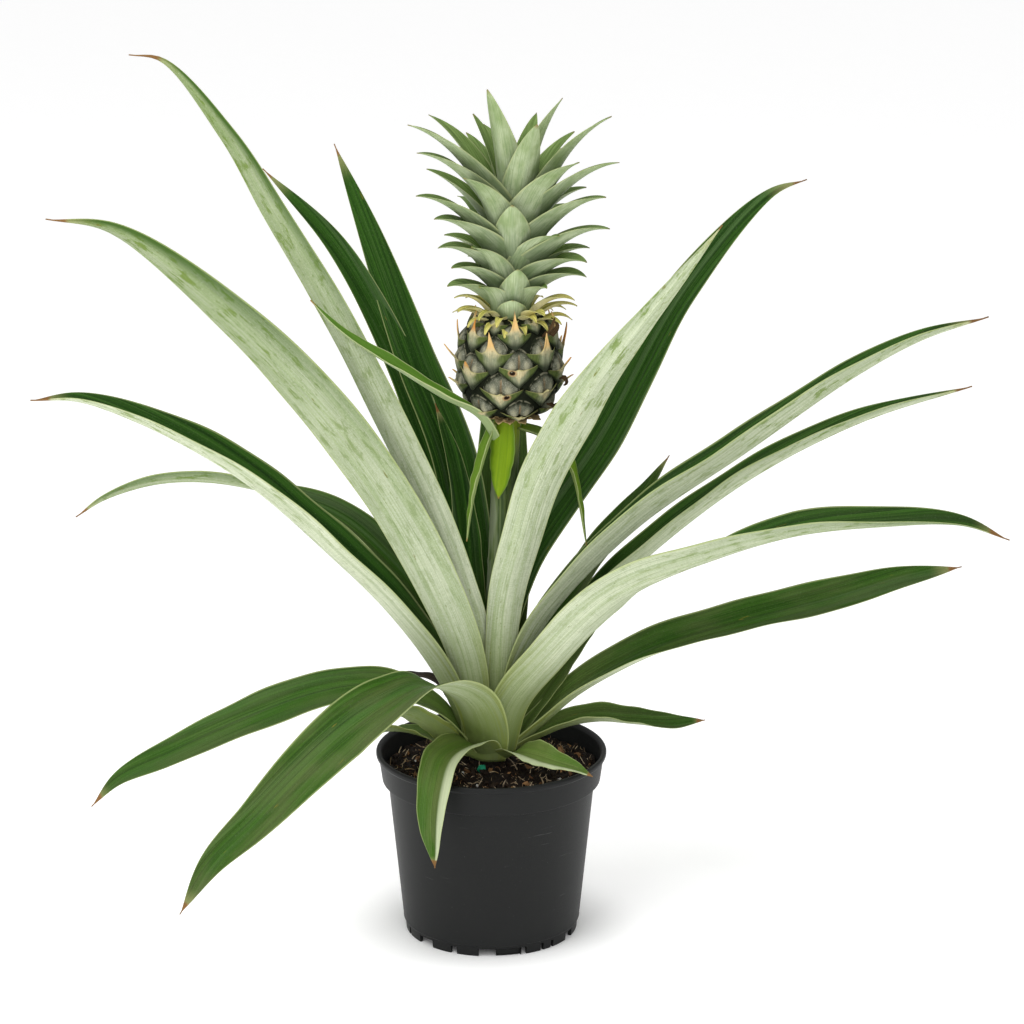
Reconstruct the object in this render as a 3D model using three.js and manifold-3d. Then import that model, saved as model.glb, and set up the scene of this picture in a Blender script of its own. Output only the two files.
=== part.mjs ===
// Potted pineapple plant: a plastic nursery pot with soil, a rosette of strap leaves,
// and one young fruit with its crown on a stalk.
// Millimetres, +Z up. The model is drawn from the centre of the pot's rim plane and is
// moved at the end so that the origin is under the middle of the whole plant, on the
// surface that the pot's feet stand on.
import * as THREE from 'three';
import { mergeVertices } from 'three/addons/utils/BufferGeometryUtils.js';
import Module from 'manifold-3d';

const wasm = await Module();
wasm.setup();

// ---- driving dimensions -------------------------------------------------------------
const GAP = 0.3; // clearance between touching pieces

const RIM_RADIUS = 61.2; // outer edge of the pot's lip
const COLLAR_DEPTH = 15.5; // height of the band below the rim
const COLLAR_FOOT_RADIUS = 57.9;
const BODY_TOP_RADIUS = 54.8;
const BODY_FOOT_RADIUS = 47.2;
const RIDGE_Z = -93; // ridge between the body and the foot ring
const POT_DEPTH = 99.5; // from the rim plane to the underside of the feet
const WALL = 1.4;
const LIP_RISE = 0.8; // the rolled lip stands this far above the rim plane
const LIP_ROLL = 3.2; // from the lip's outer edge to the inside of its roll
const FOOT_RING_RADIUS = 46.2;
const FOOT_RING_WALL = 2.2;
const FLOOR_THICKNESS = 2; // of the outer floor, whose underside is 1 mm above the ridge
const FLOOR_STEP_RADIUS = 40.5; // the middle of the floor is sunk inside this radius
const FLOOR_STEP_DEPTH = 5;
const DRAIN_TOP = -95.5; // the drain cuts in the foot ring end at this height
const DRAIN_BOX_LENGTH = 10; // along the radius
// Drain cuts: degrees from the front (-Y) towards +X, and width in mm. Each is repeated
// on the opposite side of the ring.
const DRAIN_CUTS = [[-70, 2], [-49, 10.4], [-25.5, 3.5], [-2.6, 9.4], [22.2, 3], [36, 1.8], [44.5, 1.8],
  [63.5, 7]];

const SOIL_TOP = -10; // soil level at the wall
const SOIL_MOUND = 7; // how much higher the soil is at the stem
const SOIL_MOUND_RADIUS = 26;
const SOIL_RIPPLE = 0.8;
const STEM_RADIUS = 6.5;
const STEM_FOOT = -28; // the stem is planted this far below the rim plane
const STEM_HEAD = 9;
const STEM_CENTRE = new THREE.Vector2(-1, -1);

const STALK_RADIUS = 7.2;
const STALK_ROUTE = [[-1, -1, STEM_HEAD + GAP], [3, 0, 70], [6, 0, 130], [8.6, 0, 184.4]];

const FRUIT_CENTRE = new THREE.Vector3(8.8, 0, 212);
const FRUIT_RADIUS = 28.4;
const FRUIT_HALF_HEIGHT = 27;
const EYES_AROUND = 14; // eyes in two neighbouring rows, seven to a row
const EYE_ROWS = 7;
const EYE_RELIEF = 1.6;

const CROWN_BASE = new THREE.Vector3(10.4, 0, 239.6);
const CROWN_LEAN = 2; // degrees, towards +X
const CROWN_CORE_RADIUS = 6;
const CROWN_CORE_HEIGHT = 88;
const CROWN_TIERS = 14;
const CROWN_TIER_STEP = 6;
const CROWN_LEAVES_PER_TIER = 5;
const CROWN_LEAF_WIDTH = 18;
const CROWN_REACH = [27, 51]; // from the axis to the tips, in the lowest tier and at the widest
const CROWN_WIDEST = 0.55; // share of the height at which the crown is full width
const CROWN_TOP_NARROWING = [0.78, 22]; // share of the height where it starts, and mm at the top
const CROWN_TIP_RISE = [-2, 29]; // from a leaf's foot to its tip, in the lowest and top tiers
const CROWN_ARCH = [20, 36];
const GOLDEN_TURN = 137.5; // degrees between one crown leaf and the next

const SLIVER = 0.02; // facets finer than this are merged after a cut

const LEAF_THICKNESS = 1.3;
const LEAF_STATIONS = 12;
const LEAF_FACETS = 4; // across a leaf
const BRACT_STATIONS = 8;
const BRACT_FACETS = 2;
const TAPER = 3.6; // how late a leaf narrows towards its tip
const WIDEST_FROM = 0.35; // share of its length at which a leaf reaches full width
const CHANNEL_BLUNTNESS = 0.245; // of the bottom of the V, as a share of the half width
const TIP_HALF_WIDTH = 0.5;

// One entry per leaf, from the lowest and outermost to the innermost. width is the full
// width in mm. fold is the slope in degrees of the two halves of the blade, and roll turns
// the blade about its midrib, each listed from base to tip. route is the midrib.
const LEAVES = [
  { name: 'leaf_front_hanging', width: 22, fold: [25, 25], roll: [0, 0],
    route: [[-3, -13, 0], [-8, -22, 10], [-15, -32, 13], [-24, -48, 12], [-28, -60, 3],
      [-30, -65, -14], [-29, -66, -41]] },
  { name: 'leaf_front_right_small', width: 15, fold: [30, 25], roll: [-30, 30, 10],
    route: [[5, -12, -1], [14, -20, 5], [23, -27, 6], [34, -36, 5.5], [45, -43, 4.5],
      [53, -46, 2]] },
  { name: 'leaf_front_left_drooping', width: 35, fold: [20, 20], roll: [50, 20, -50, -60, -60],
    route: [[-4, -15, -1], [-4, -20, 16], [-11, -30, 37], [-24, -40, 48], [-37, -50, 53],
      [-51, -60, 50], [-71, -70, 38.5], [-94, -79, 18.5], [-120, -86, -8], [-142, -90, -29],
      [-160, -90, -57]] },
  { name: 'leaf_left_torn', width: 17, fold: [25, 25], roll: [-20, 0, 45],
    route: [[-12, -2, -1], [-37, 0, 8], [-50, 0, 10.5], [-64, 0, 9.5]] },
  { name: 'leaf_right_short', width: 19, fold: [55, 50, 22], roll: [8, 12, 28],
    route: [[9, 1, -2], [28, 6, 6], [40, 9, 10], [57, 12, 13.5], [77, 14, 12], [96, 15, 10],
      [114, 14, 12]] },
  { name: 'leaf_left_small', width: 18, fold: [25, 25], roll: [40, 40],
    route: [[-12, -8, 0], [-41, -20, 25], [-63, -30, 34]] },
  { name: 'leaf_left_drooping', width: 27, fold: [22, 22], roll: [0, -30, -40],
    route: [[-10, -6, 0], [-25, -11, 23], [-42, -17, 36], [-57, -21, 42], [-74, -25, 43],
      [-98, -29, 38.5], [-131, -34, 27], [-168, -39, 11], [-194, -40, -1.5], [-209, -40, -17]] },
  { name: 'leaf_left_withered', width: 9, fold: [25, 25], roll: [0, 0],
    route: [[-6, 4, 1], [-32, 24, 36], [-50, 31, 36], [-62, 36, 27]] },
  { name: 'leaf_right_low', width: 28, fold: [55, 38, 24], roll: [4, 25, 35],
    route: [[10, 0, -2], [26, 4, 13], [45, 7, 30], [67, 10, 43], [91, 13, 54], [128, 16, 65],
      [180, 19, 78], [216, 20, 88.5], [249, 20, 95.5]] },
  { name: 'leaf_right_arched', width: 33, fold: [25, 30, 42, 45], roll: [-55, -48, -8, 8],
    route: [[5, -12, 0], [12, -17, 30], [30, -23, 55], [66, -35, 95], [118, -46, 121],
      [158, -50, 132.5], [200, -51, 137.5], [240, -51, 138], [265, -50, 131]] },
  { name: 'leaf_left_folded', width: 42, fold: [50, 48], roll: [0, -12],
    route: [[-12, 0, 3], [-30, -5, 45], [-55, -8, 81], [-86, -11, 114], [-119, -13, 145.5],
      [-147, -15, 166], [-181, -17, 185], [-212, -19, 197], [-236, -20, 198]] },
  { name: 'leaf_left_broad', width: 34, fold: [22, 22, 30], roll: [65, 65, 45],
    route: [[-8, -8, 2], [-11, -16, 52], [-27, -26, 103], [-56, -38, 160.5], [-92, -50, 210],
      [-148, -64, 268], [-187, -70, 298.5], [-219, -73, 306]] },
  { name: 'leaf_right_middle_folded', width: 31, fold: [50, 50], roll: [0, 0],
    route: [[10, 4, 3], [31, 7, 47.5], [52, 8, 73], [78, 8, 101], [134, 6, 148], [192, 4, 180.5],
      [249, 0, 200]] },
  { name: 'leaf_right_upper_folded', width: 39, fold: [48, 56], roll: [-10, 4],
    route: [[8, 0, 5], [18, -5, 50], [33, -9, 80], [76, -16, 128.5], [131, -20, 170],
      [187, -22, 211], [220, -21, 229], [254, -20, 241.5]] },
  { name: 'leaf_left_back_arched', width: 24, fold: [40, 40], roll: [0, 0],
    route: [[-11, 8, 6], [-39, 16, 79], [-58, 20, 104.5], [-78, 23, 122], [-101, 25, 132],
      [-145, 28, 139.5], [-176, 30, 138.5], [-204, 30, 130], [-220, 30, 120]] },
  { name: 'leaf_right_pale_upright', width: 27, fold: [20, 20], roll: [-65, -65],
    route: [[2, -9, 8], [5, -12, 88], [25, -26, 157], [55, -38, 209.5], [100, -48, 274],
      [116, -50, 297]] },
  { name: 'leaf_left_tall', width: 17.5, fold: [20, 20], roll: [60, 65],
    route: [[-7, -5, 4], [-14, -10, 109], [-59.5, -30, 200], [-111, -48, 304], [-130, -54, 342],
      [-161, -59, 380.5], [-177, -60, 385]] },
  { name: 'leaf_right_dark_upright', width: 30, fold: [22, 22], roll: [40, 50, 40],
    route: [[7, 6, 6], [10, 9, 55], [22.5, 12, 103.5], [58.5, 16, 167], [101, 18, 246.5],
      [144, 12, 299], [162, 10, 307]] },
  { name: 'leaf_right_back_small', width: 20, fold: [30, 30], roll: [20, 20],
    route: [[9, 7, 2], [39, 20, 42], [68, 38, 82]] },
  { name: 'leaf_right_back_short', width: 18, fold: [30, 30], roll: [20, 20],
    route: [[8, 8, 8], [41, 16, 77], [65, 24, 112], [82, 28, 134], [94, 30, 154]] },
  { name: 'leaf_back_left_narrow', width: 23, fold: [22, 22], roll: [-40, -50],
    route: [[-8, 9, 12], [-19, 16, 101], [-37, 26, 158], [-55, 38, 207], [-84, 46, 265],
      [-119, 50, 304]] },
  { name: 'leaf_back_left_upright', width: 25, fold: [22, 22], roll: [-50, -60],
    route: [[-5, 11, 14], [-18, 26, 149], [-40, 38, 206], [-63, 52, 268], [-82, 60, 315]] },
  { name: 'leaf_inner_short', width: 18, fold: [25, 25], roll: [-30, -40],
    route: [[-8, 4, 19], [-13, 6, 104], [-19, 8, 153], [-29, 10, 188]] },
  { name: 'leaf_back_long', width: 24, fold: [25, 25], roll: [0, 0],
    route: [[-1, 13, 19], [-2, 30, 114], [0, 70, 174], [8, 150, 194]] },
  { name: 'leaf_back_right_long', width: 24, fold: [25, 25], roll: [0, 0],
    route: [[6, 13, 16], [14, 24, 104], [18, 60, 169], [20, 120, 204]] },
];

const BRACT_MESH = { facets: BRACT_FACETS, stations: BRACT_STATIONS };
const BRACTS = [
  { ...BRACT_MESH, name: 'bract_long_left', width: 11, fold: [25, 25], roll: [20, 30],
    route: [[2, -5, 172], [-7, -14, 188], [-26, -22, 201], [-46, -30, 216.5], [-76, -44, 241],
      [-90, -52, 259]] },
  { ...BRACT_MESH, name: 'bract_front', width: 14, fold: [12, 12], roll: [0, 0],
    route: [[7, -8, 181], [6, -10.5, 166], [3, -13, 136]] },
  { ...BRACT_MESH, name: 'bract_left_hanging', width: 10, fold: [20, 20], roll: [10, 20],
    route: [[2, -4.5, 178], [-6, -9, 165], [-11, -13, 145], [-12.5, -16, 116]] },
  { ...BRACT_MESH, name: 'bract_right_curled', width: 9, fold: [25, 25], roll: [0, 0],
    route: [[15, -2, 178], [27, -5, 174], [40, -6, 160], [50, -8, 116]] },
];

// ---- solids -------------------------------------------------------------------------
function toSolid(geometry) {
  const bare = new THREE.BufferGeometry();
  bare.setAttribute('position', geometry.attributes.position);
  if (geometry.index) bare.setIndex(geometry.index);
  const merged = mergeVertices(bare, 1e-4);
  return new wasm.Manifold(new wasm.Mesh({
    numProp: 3,
    vertProperties: new Float32Array(merged.attributes.position.array),
    triVerts: new Uint32Array(merged.index.array),
  }));
}

function toGeometry(solid) {
  const mesh = solid.getMesh();
  const geometry = new THREE.BufferGeometry();
  geometry.setAttribute('position', new THREE.BufferAttribute(mesh.vertProperties, 3));
  geometry.setIndex(new THREE.BufferAttribute(mesh.triVerts, 1));
  geometry.computeVertexNormals();
  return geometry;
}

function largestPiece(solid) {
  const pieces = solid.simplify(SLIVER).decompose();
  return pieces.reduce((best, piece) => (piece.volume() > best.volume() ? piece : best));
}

function mapVertices(geometry, move) {
  const position = geometry.attributes.position;
  const point = new THREE.Vector3();
  for (let i = 0; i < position.count; i++) {
    point.fromBufferAttribute(position, i);
    move(point);
    position.setXYZ(i, point.x, point.y, point.z);
  }
  return geometry;
}

// ---- blades: leaves and bracts ------------------------------------------------------
// A value listed from base to tip, read at t from 0 to 1.
function along(list, t) {
  const at = t * (list.length - 1);
  const i = Math.min(Math.floor(at), list.length - 2);
  return THREE.MathUtils.lerp(list[i], list[i + 1], at - i);
}

// Half the width: half of it at the base, all of it at a third, then down to a long point.
function halfWidth(width, t) {
  const spread = 0.5 + 0.5 * Math.sin(Math.min(t / WIDEST_FROM, 1) * Math.PI / 2);
  return 0.5 * width * spread * (1 - t ** TAPER) + TIP_HALF_WIDTH;
}

// The blade is a box bent along its midrib. x in the box runs across the blade, y through
// its thickness and z along it. Across, the blade is a rounded V.
function blade({ width, fold, roll, route, facets = LEAF_FACETS, stations = LEAF_STATIONS }, extra = 0) {
  const curve = new THREE.CatmullRomCurve3(route.map((p) => new THREE.Vector3(...p)), false, 'centripetal');
  const head = curve.getPoint(1).sub(curve.getPoint(0)).setZ(0).normalize();
  const level = new THREE.Vector3(-head.y, head.x, 0);
  const box = new THREE.BoxGeometry(2, 1, 1, facets, 1, stations);
  return mapVertices(box, (p) => {
    const [across, through, t] = [p.x, p.y, p.z + 0.5];
    const tangent = curve.getTangentAt(t);
    const side = level.clone().addScaledVector(tangent, -level.dot(tangent)).normalize();
    const up = tangent.clone().cross(side);
    const turn = THREE.MathUtils.degToRad(along(roll, t));
    side.applyAxisAngle(tangent, turn);
    up.applyAxisAngle(tangent, turn);
    const half = halfWidth(width, t) + extra;
    const slope = THREE.MathUtils.degToRad(along(fold, t));
    const rise = half * Math.sin(slope) * (Math.hypot(across, CHANNEL_BLUNTNESS) - CHANNEL_BLUNTNESS);
    const thickness = LEAF_THICKNESS * (1 - 0.4 * Math.abs(across)) * (1 - 0.4 * t) + 2 * extra;
    const reach = t > 0.99 ? extra : t < 0.01 ? -extra : 0;
    p.copy(curve.getPointAt(t))
      .addScaledVector(side, half * Math.cos(slope) * across)
      .addScaledVector(up, rise + through * thickness / Math.cos(slope * Math.abs(across)))
      .addScaledVector(tangent, reach);
  });
}

// ---- pot ----------------------------------------------------------------------------
function potSolid() {
  const floorTop = RIDGE_Z + 1 + FLOOR_THICKNESS;
  const sunkUnder = RIDGE_Z + 1 - FLOOR_STEP_DEPTH;
  const footInside = FOOT_RING_RADIUS - FOOT_RING_WALL;
  const outline = [
    [0, sunkUnder + WALL], [FLOOR_STEP_RADIUS - WALL, sunkUnder + WALL], [FLOOR_STEP_RADIUS - WALL, floorTop],
    [BODY_FOOT_RADIUS - WALL - 1.2, floorTop],
    [BODY_TOP_RADIUS - WALL, -COLLAR_DEPTH - 1.2], [COLLAR_FOOT_RADIUS - WALL, -COLLAR_DEPTH + 0.6],
    [RIM_RADIUS - LIP_ROLL, -1.2], [RIM_RADIUS - 2.2, 0.6], [RIM_RADIUS - 0.7, LIP_RISE],
    [RIM_RADIUS, 0], [RIM_RADIUS - 0.1, -1.8], [RIM_RADIUS - 1.5, -2.8],
    [COLLAR_FOOT_RADIUS, -COLLAR_DEPTH], [BODY_TOP_RADIUS, -COLLAR_DEPTH - 1],
    [BODY_FOOT_RADIUS, RIDGE_Z + 1], [BODY_FOOT_RADIUS, RIDGE_Z - 0.4],
    [FOOT_RING_RADIUS, RIDGE_Z - 0.9], [FOOT_RING_RADIUS - 0.4, -POT_DEPTH],
    [footInside, -POT_DEPTH], [footInside - 1, RIDGE_Z + 1],
    [FLOOR_STEP_RADIUS, RIDGE_Z + 1], [FLOOR_STEP_RADIUS, sunkUnder], [0, sunkUnder],
  ].map(([r, z]) => new THREE.Vector2(r, z)).reverse();
  const shell = new THREE.LatheGeometry(outline, 40).rotateX(Math.PI / 2);
  let solid = toSolid(shell);
  const below = 0.5; // the cuts run out through the underside of the feet
  const height = DRAIN_TOP + POT_DEPTH + below;
  for (const [degrees, width] of DRAIN_CUTS) {
    for (const opposite of [0, 180]) {
      const box = new THREE.BoxGeometry(DRAIN_BOX_LENGTH, width, height);
      box.translate(FOOT_RING_RADIUS, 0, DRAIN_TOP - height / 2);
      box.rotateZ(THREE.MathUtils.degToRad(degrees + opposite - 90));
      solid = solid.subtract(toSolid(box));
    }
  }
  return solid;
}

// ---- soil and stem ------------------------------------------------------------------
function soilSolid() {
  const wellRadius = STEM_RADIUS + GAP + 0.1;
  const top = (r) => SOIL_TOP + SOIL_MOUND * Math.exp(-((r / SOIL_MOUND_RADIUS) ** 2));
  const floorTop = RIDGE_Z + 1 + FLOOR_THICKNESS + GAP;
  const sunkTop = RIDGE_Z + 1 - FLOOR_STEP_DEPTH + WALL + GAP;
  const sunkEdge = FLOOR_STEP_RADIUS - WALL - GAP - 0.1;
  const shoulder = -COLLAR_DEPTH - 1.2; // where the body meets the collar, inside
  const wallAt = (z) => THREE.MathUtils.mapLinear(z, RIDGE_Z + 3, shoulder,
    BODY_FOOT_RADIUS - WALL - 1.2, BODY_TOP_RADIUS - WALL) - GAP - 0.15;
  const edge = COLLAR_FOOT_RADIUS - WALL - GAP;
  const outline = [[0, sunkTop], [sunkEdge, sunkTop], [sunkEdge, floorTop], [wallAt(floorTop + 0.7), floorTop],
    [wallAt(shoulder), shoulder], [edge, -COLLAR_DEPTH + 1.4], [edge, top(edge)],
    [42, top(42)], [30, top(30)], [20, top(20)], [wellRadius, top(wellRadius)],
    [wellRadius, STEM_FOOT - GAP], [0, STEM_FOOT - GAP]].map(([r, z]) => new THREE.Vector2(r, z));
  const body = new THREE.LatheGeometry(outline, 32).rotateX(Math.PI / 2);
  return toSolid(mapVertices(body, (p) => {
    const radius = Math.hypot(p.x, p.y);
    if (radius > 15 && radius < 50 && p.z > -COLLAR_DEPTH) {
      p.z += SOIL_RIPPLE * Math.sin(p.x * 0.31 + 1) * Math.cos(p.y * 0.27);
    }
    const inward = 1 - THREE.MathUtils.smoothstep(radius, 12, 30);
    const open = p.z > STEM_FOOT - 1 ? 1 : 0; // only the well moves under the stem
    p.x += STEM_CENTRE.x * inward * open;
    p.y += STEM_CENTRE.y * inward * open;
  }));
}

function stemSolid(extra = 0) {
  const head = STEM_HEAD + extra;
  const outline = [[0, STEM_FOOT], [STEM_RADIUS - 1.5, STEM_FOOT], [STEM_RADIUS, STEM_FOOT + 12],
    [STEM_RADIUS, head - 3], [STEM_RADIUS - 1.5, head], [0, head]]
    .map(([r, z]) => new THREE.Vector2(r > 0 ? r + extra : 0, z));
  const body = new THREE.LatheGeometry(outline, 16).rotateX(Math.PI / 2);
  return toSolid(body.translate(STEM_CENTRE.x, STEM_CENTRE.y, 0));
}

// ---- fruit stalk --------------------------------------------------------------------
function stalkSolid(extra = 0) {
  const curve = new THREE.CatmullRomCurve3(STALK_ROUTE.map((p) => new THREE.Vector3(...p)));
  const body = new THREE.CylinderGeometry(1, 1, 1, 14, 12).rotateX(Math.PI / 2);
  return toSolid(mapVertices(body, (p) => {
    const t = p.z + 0.5;
    const middle = curve.getPointAt(t);
    const radius = STALK_RADIUS * (0.9 + 0.1 * t) + extra;
    const reach = t > 0.99 ? extra : t < 0.01 ? -extra : 0;
    p.set(middle.x + p.x * radius, middle.y + p.y * radius, middle.z + reach);
  }));
}

// ---- fruit --------------------------------------------------------------------------
// A barrel with a raised, pointed eye at every crossing of two spirals.
function fruitSolid() {
  const body = new THREE.SphereGeometry(1, EYES_AROUND * 3, 15).rotateX(Math.PI / 2);
  return toSolid(mapVertices(body, (p) => {
    const around = Math.atan2(p.y, p.x);
    const level = Math.asin(THREE.MathUtils.clamp(p.z, -1, 1)) / (Math.PI / 2);
    const row = (level + 1) / 2 * EYE_ROWS;
    const ridge = Math.cos(around * EYES_AROUND / 2 + row * Math.PI) * Math.cos(row * Math.PI);
    const fade = Math.cos(level * Math.PI / 2) ** 0.6;
    const bulge = 1 + EYE_RELIEF / FRUIT_RADIUS * ridge * fade;
    const squareness = Math.sign(p.z) * Math.abs(p.z) ** 1.12;
    const flat = Math.hypot(p.x, p.y) || 1;
    const wide = flat ** 0.7 / flat;
    p.set(p.x * wide * FRUIT_RADIUS * bulge, p.y * wide * FRUIT_RADIUS * bulge, squareness * FRUIT_HALF_HEIGHT);
    p.add(FRUIT_CENTRE);
  }));
}

// ---- crown --------------------------------------------------------------------------
// Every leaf of a tier lies on one flared surface, and the surfaces are nested.
function crownTier(tier) {
  const share = tier / (CROWN_TIERS - 1);
  const spread = Math.sin(Math.min(share / CROWN_WIDEST, 1) * Math.PI / 2);
  const [narrowsFrom, narrowing] = CROWN_TOP_NARROWING;
  const reach = THREE.MathUtils.lerp(...CROWN_REACH, spread)
    - narrowing * Math.max(0, share - narrowsFrom) / (1 - narrowsFrom);
  const rise = THREE.MathUtils.lerp(...CROWN_TIP_RISE, share);
  const arch = THREE.MathUtils.lerp(...CROWN_ARCH, share);
  const root = CROWN_CORE_RADIUS * (1 - 0.42 * share) + 2 * GAP;
  const foot = 1.2 + tier * CROWN_TIER_STEP;
  const collarOutline = [[root, foot], [root + 2, foot + 0.4], [root + 2, foot + 2.6], [root, foot + 2.2], [root, foot]]
    .map(([r, z]) => new THREE.Vector2(r, z));
  let solid = toSolid(new THREE.LatheGeometry(collarOutline, 10).rotateX(Math.PI / 2));
  for (let i = 0; i < CROWN_LEAVES_PER_TIER; i++) {
    const turn = THREE.MathUtils.degToRad((tier * CROWN_LEAVES_PER_TIER + i) * GOLDEN_TURN);
    const box = new THREE.BoxGeometry(2, 1, 1, 2, 1, 4);
    mapVertices(box, (p) => {
      const t = p.z + 0.5;
      const half = CROWN_LEAF_WIDTH / 2 * (1 - t ** 1.9) + TIP_HALF_WIDTH;
      const radius = root + 0.6 + (reach - root) * t;
      const height = foot + 1.4 + rise * t + arch * t * (1 - t) + 0.12 * half * Math.abs(p.x);
      p.set(radius, p.x * half * Math.min(1, 0.45 + 2 * t), height + p.y * 1.1 * (1 - 0.4 * t));
      p.applyAxisAngle(new THREE.Vector3(0, 0, 1), turn);
    });
    solid = solid.add(toSolid(box));
  }
  return solid.simplify(SLIVER);
}

function crownCore() {
  const outline = [[0, 0], [CROWN_CORE_RADIUS, 0.4], [CROWN_CORE_RADIUS * 0.55, CROWN_CORE_HEIGHT - 2],
    [1, CROWN_CORE_HEIGHT + 4], [0, CROWN_CORE_HEIGHT + 4]].map(([r, z]) => new THREE.Vector2(r, z));
  return toSolid(new THREE.LatheGeometry(outline, 20).rotateX(Math.PI / 2));
}

// ---- assembly -----------------------------------------------------------------------
const FINISHES = {
  pot: { color: 0x2b2d2f, roughness: 0.55 },
  soil: { color: 0x3a261a, roughness: 0.95 },
  stem: { color: 0x9fb07a, roughness: 0.6 },
  leaf: { color: 0x4f7a3c, roughness: 0.45 },
  stalk: { color: 0x9ab567, roughness: 0.55 },
  fruit: { color: 0x7a765a, roughness: 0.6 },
  crown: { color: 0x8fa886, roughness: 0.5 },
};

const plant = new THREE.Group();

function addPiece(parent, name, solid, finish) {
  const material = new THREE.MeshStandardMaterial({ metalness: 0, ...FINISHES[finish] });
  const mesh = new THREE.Mesh(toGeometry(solid), material);
  mesh.name = name;
  parent.add(mesh);
}

addPiece(plant, 'pot', potSolid(), 'pot');
addPiece(plant, 'soil', soilSolid(), 'soil');
addPiece(plant, 'stem', stemSolid(), 'stem');
addPiece(plant, 'fruit_stalk', stalkSolid(), 'stalk');
addPiece(plant, 'fruit', fruitSolid(), 'fruit');

// Each blade is cut back where it would run into what is already there.
let taken = wasm.Manifold.union([stemSolid(GAP), stalkSolid(GAP), soilSolid(), potSolid(), fruitSolid()]);
for (const [list, finish] of [[LEAVES, 'leaf'], [BRACTS, 'stalk']]) {
  for (const leaf of list) {
    const whole = toSolid(blade(leaf));
    addPiece(plant, leaf.name, largestPiece(whole.subtract(taken)), finish);
    taken = taken.add(toSolid(blade(leaf, GAP)));
  }
}

const crown = new THREE.Group();
crown.position.copy(CROWN_BASE);
crown.rotation.y = THREE.MathUtils.degToRad(CROWN_LEAN);
addPiece(crown, 'crown_core', crownCore(), 'stem');
for (let tier = 0; tier < CROWN_TIERS; tier++) {
  addPiece(crown, `crown_leaves_${String(tier + 1).padStart(2, '0')}`, crownTier(tier), 'crown');
}
plant.add(crown);

// The origin goes under the middle of the plant's bounding box.
const bounds = new THREE.Box3().setFromObject(plant, true);
const middle = bounds.getCenter(new THREE.Vector3());
plant.position.set(-middle.x, -middle.y, -bounds.min.z);

const part = new THREE.Group();
part.add(plant);
part.updateMatrixWorld(true);

export default part;
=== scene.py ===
import bpy
import numpy as np
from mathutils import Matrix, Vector


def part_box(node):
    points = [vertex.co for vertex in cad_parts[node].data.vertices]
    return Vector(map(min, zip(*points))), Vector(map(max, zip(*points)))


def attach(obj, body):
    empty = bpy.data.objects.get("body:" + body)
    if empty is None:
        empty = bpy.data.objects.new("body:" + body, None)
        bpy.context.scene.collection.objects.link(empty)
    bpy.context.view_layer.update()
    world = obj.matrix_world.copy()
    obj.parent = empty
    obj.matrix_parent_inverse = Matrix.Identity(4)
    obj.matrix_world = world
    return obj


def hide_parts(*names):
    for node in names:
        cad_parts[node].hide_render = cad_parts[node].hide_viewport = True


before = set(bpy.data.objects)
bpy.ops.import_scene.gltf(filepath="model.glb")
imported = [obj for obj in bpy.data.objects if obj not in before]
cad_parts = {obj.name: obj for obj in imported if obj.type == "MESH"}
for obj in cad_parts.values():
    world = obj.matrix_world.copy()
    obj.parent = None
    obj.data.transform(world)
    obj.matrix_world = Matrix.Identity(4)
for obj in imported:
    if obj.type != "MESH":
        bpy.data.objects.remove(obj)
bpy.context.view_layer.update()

# ---- studio -------------------------------------------------------------------------------
# The plant stands on a white table under large soft lamps, seen a little from above through a
# long lens. Every length below is in millimetres, measured from the middle of the pot's rim.
MM = 0.001
LIP_RISE = 0.8
pot_low, pot_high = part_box("pot")
RIM_CENTRE = np.array([(pot_low.x + pot_high.x) / 2, (pot_low.y + pot_high.y) / 2,
                       pot_high.z - LIP_RISE * MM])

CAMERA_PLACE = (11.0, -2080.5, 772.0)
CAMERA_TARGET = (11.0, 0.0, 132.0)
FIELD_OF_VIEW = 14.0  # degrees
SIGHT = 50.0  # metres
LAMP_TARGET = (0.0, 0.0, 100.0)
LAMPS = [
    # name, place, size, power in watts
    ("lamp_overhead", (-450, -600, 1500), 900, 11.0),
    ("lamp_left", (-1300, -900, 800), 1100, 5.0),
    ("lamp_front", (300, -2000, 900), 1000, 9.0),
]
SKY_STRENGTH = 0.62
TABLE_GLOW = 0.36
TABLE_HALF = 12.0  # metres
CONTACT_SHADE = (0.03, 0.085)  # metres from the pot's middle over which the table starts to glow: a painted contact shadow


def in_frame(points):
    """Millimetres from the middle of the pot's rim, in metres in the part's own frame."""
    return RIM_CENTRE + np.asarray(points, float) * MM


def aim(thing, place, target):
    """Puts a lamp or camera at a place and turns it to look at a target."""
    start, end = Vector(in_frame(place)), Vector(in_frame(target))
    thing.location = start
    thing.rotation_euler = (end - start).to_track_quat("-Z", "Y").to_euler()


class Value:
    """A number or colour that changes over a finish: a shader socket that takes arithmetic."""

    def __init__(self, finish, socket):
        self.finish, self.socket = finish, socket

    def maths(self, operation, *terms):
        return self.finish.node("ShaderNodeMath", {"operation": operation}, terms)

    __add__ = __radd__ = lambda self, other: self.maths("ADD", self, other)
    __mul__ = __rmul__ = lambda self, other: self.maths("MULTIPLY", self, other)
    __sub__ = lambda self, other: self.maths("SUBTRACT", self, other)
    __rsub__ = lambda self, other: self.maths("SUBTRACT", other, self)
    __abs__ = lambda self: self.maths("ABSOLUTE", self)


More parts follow.
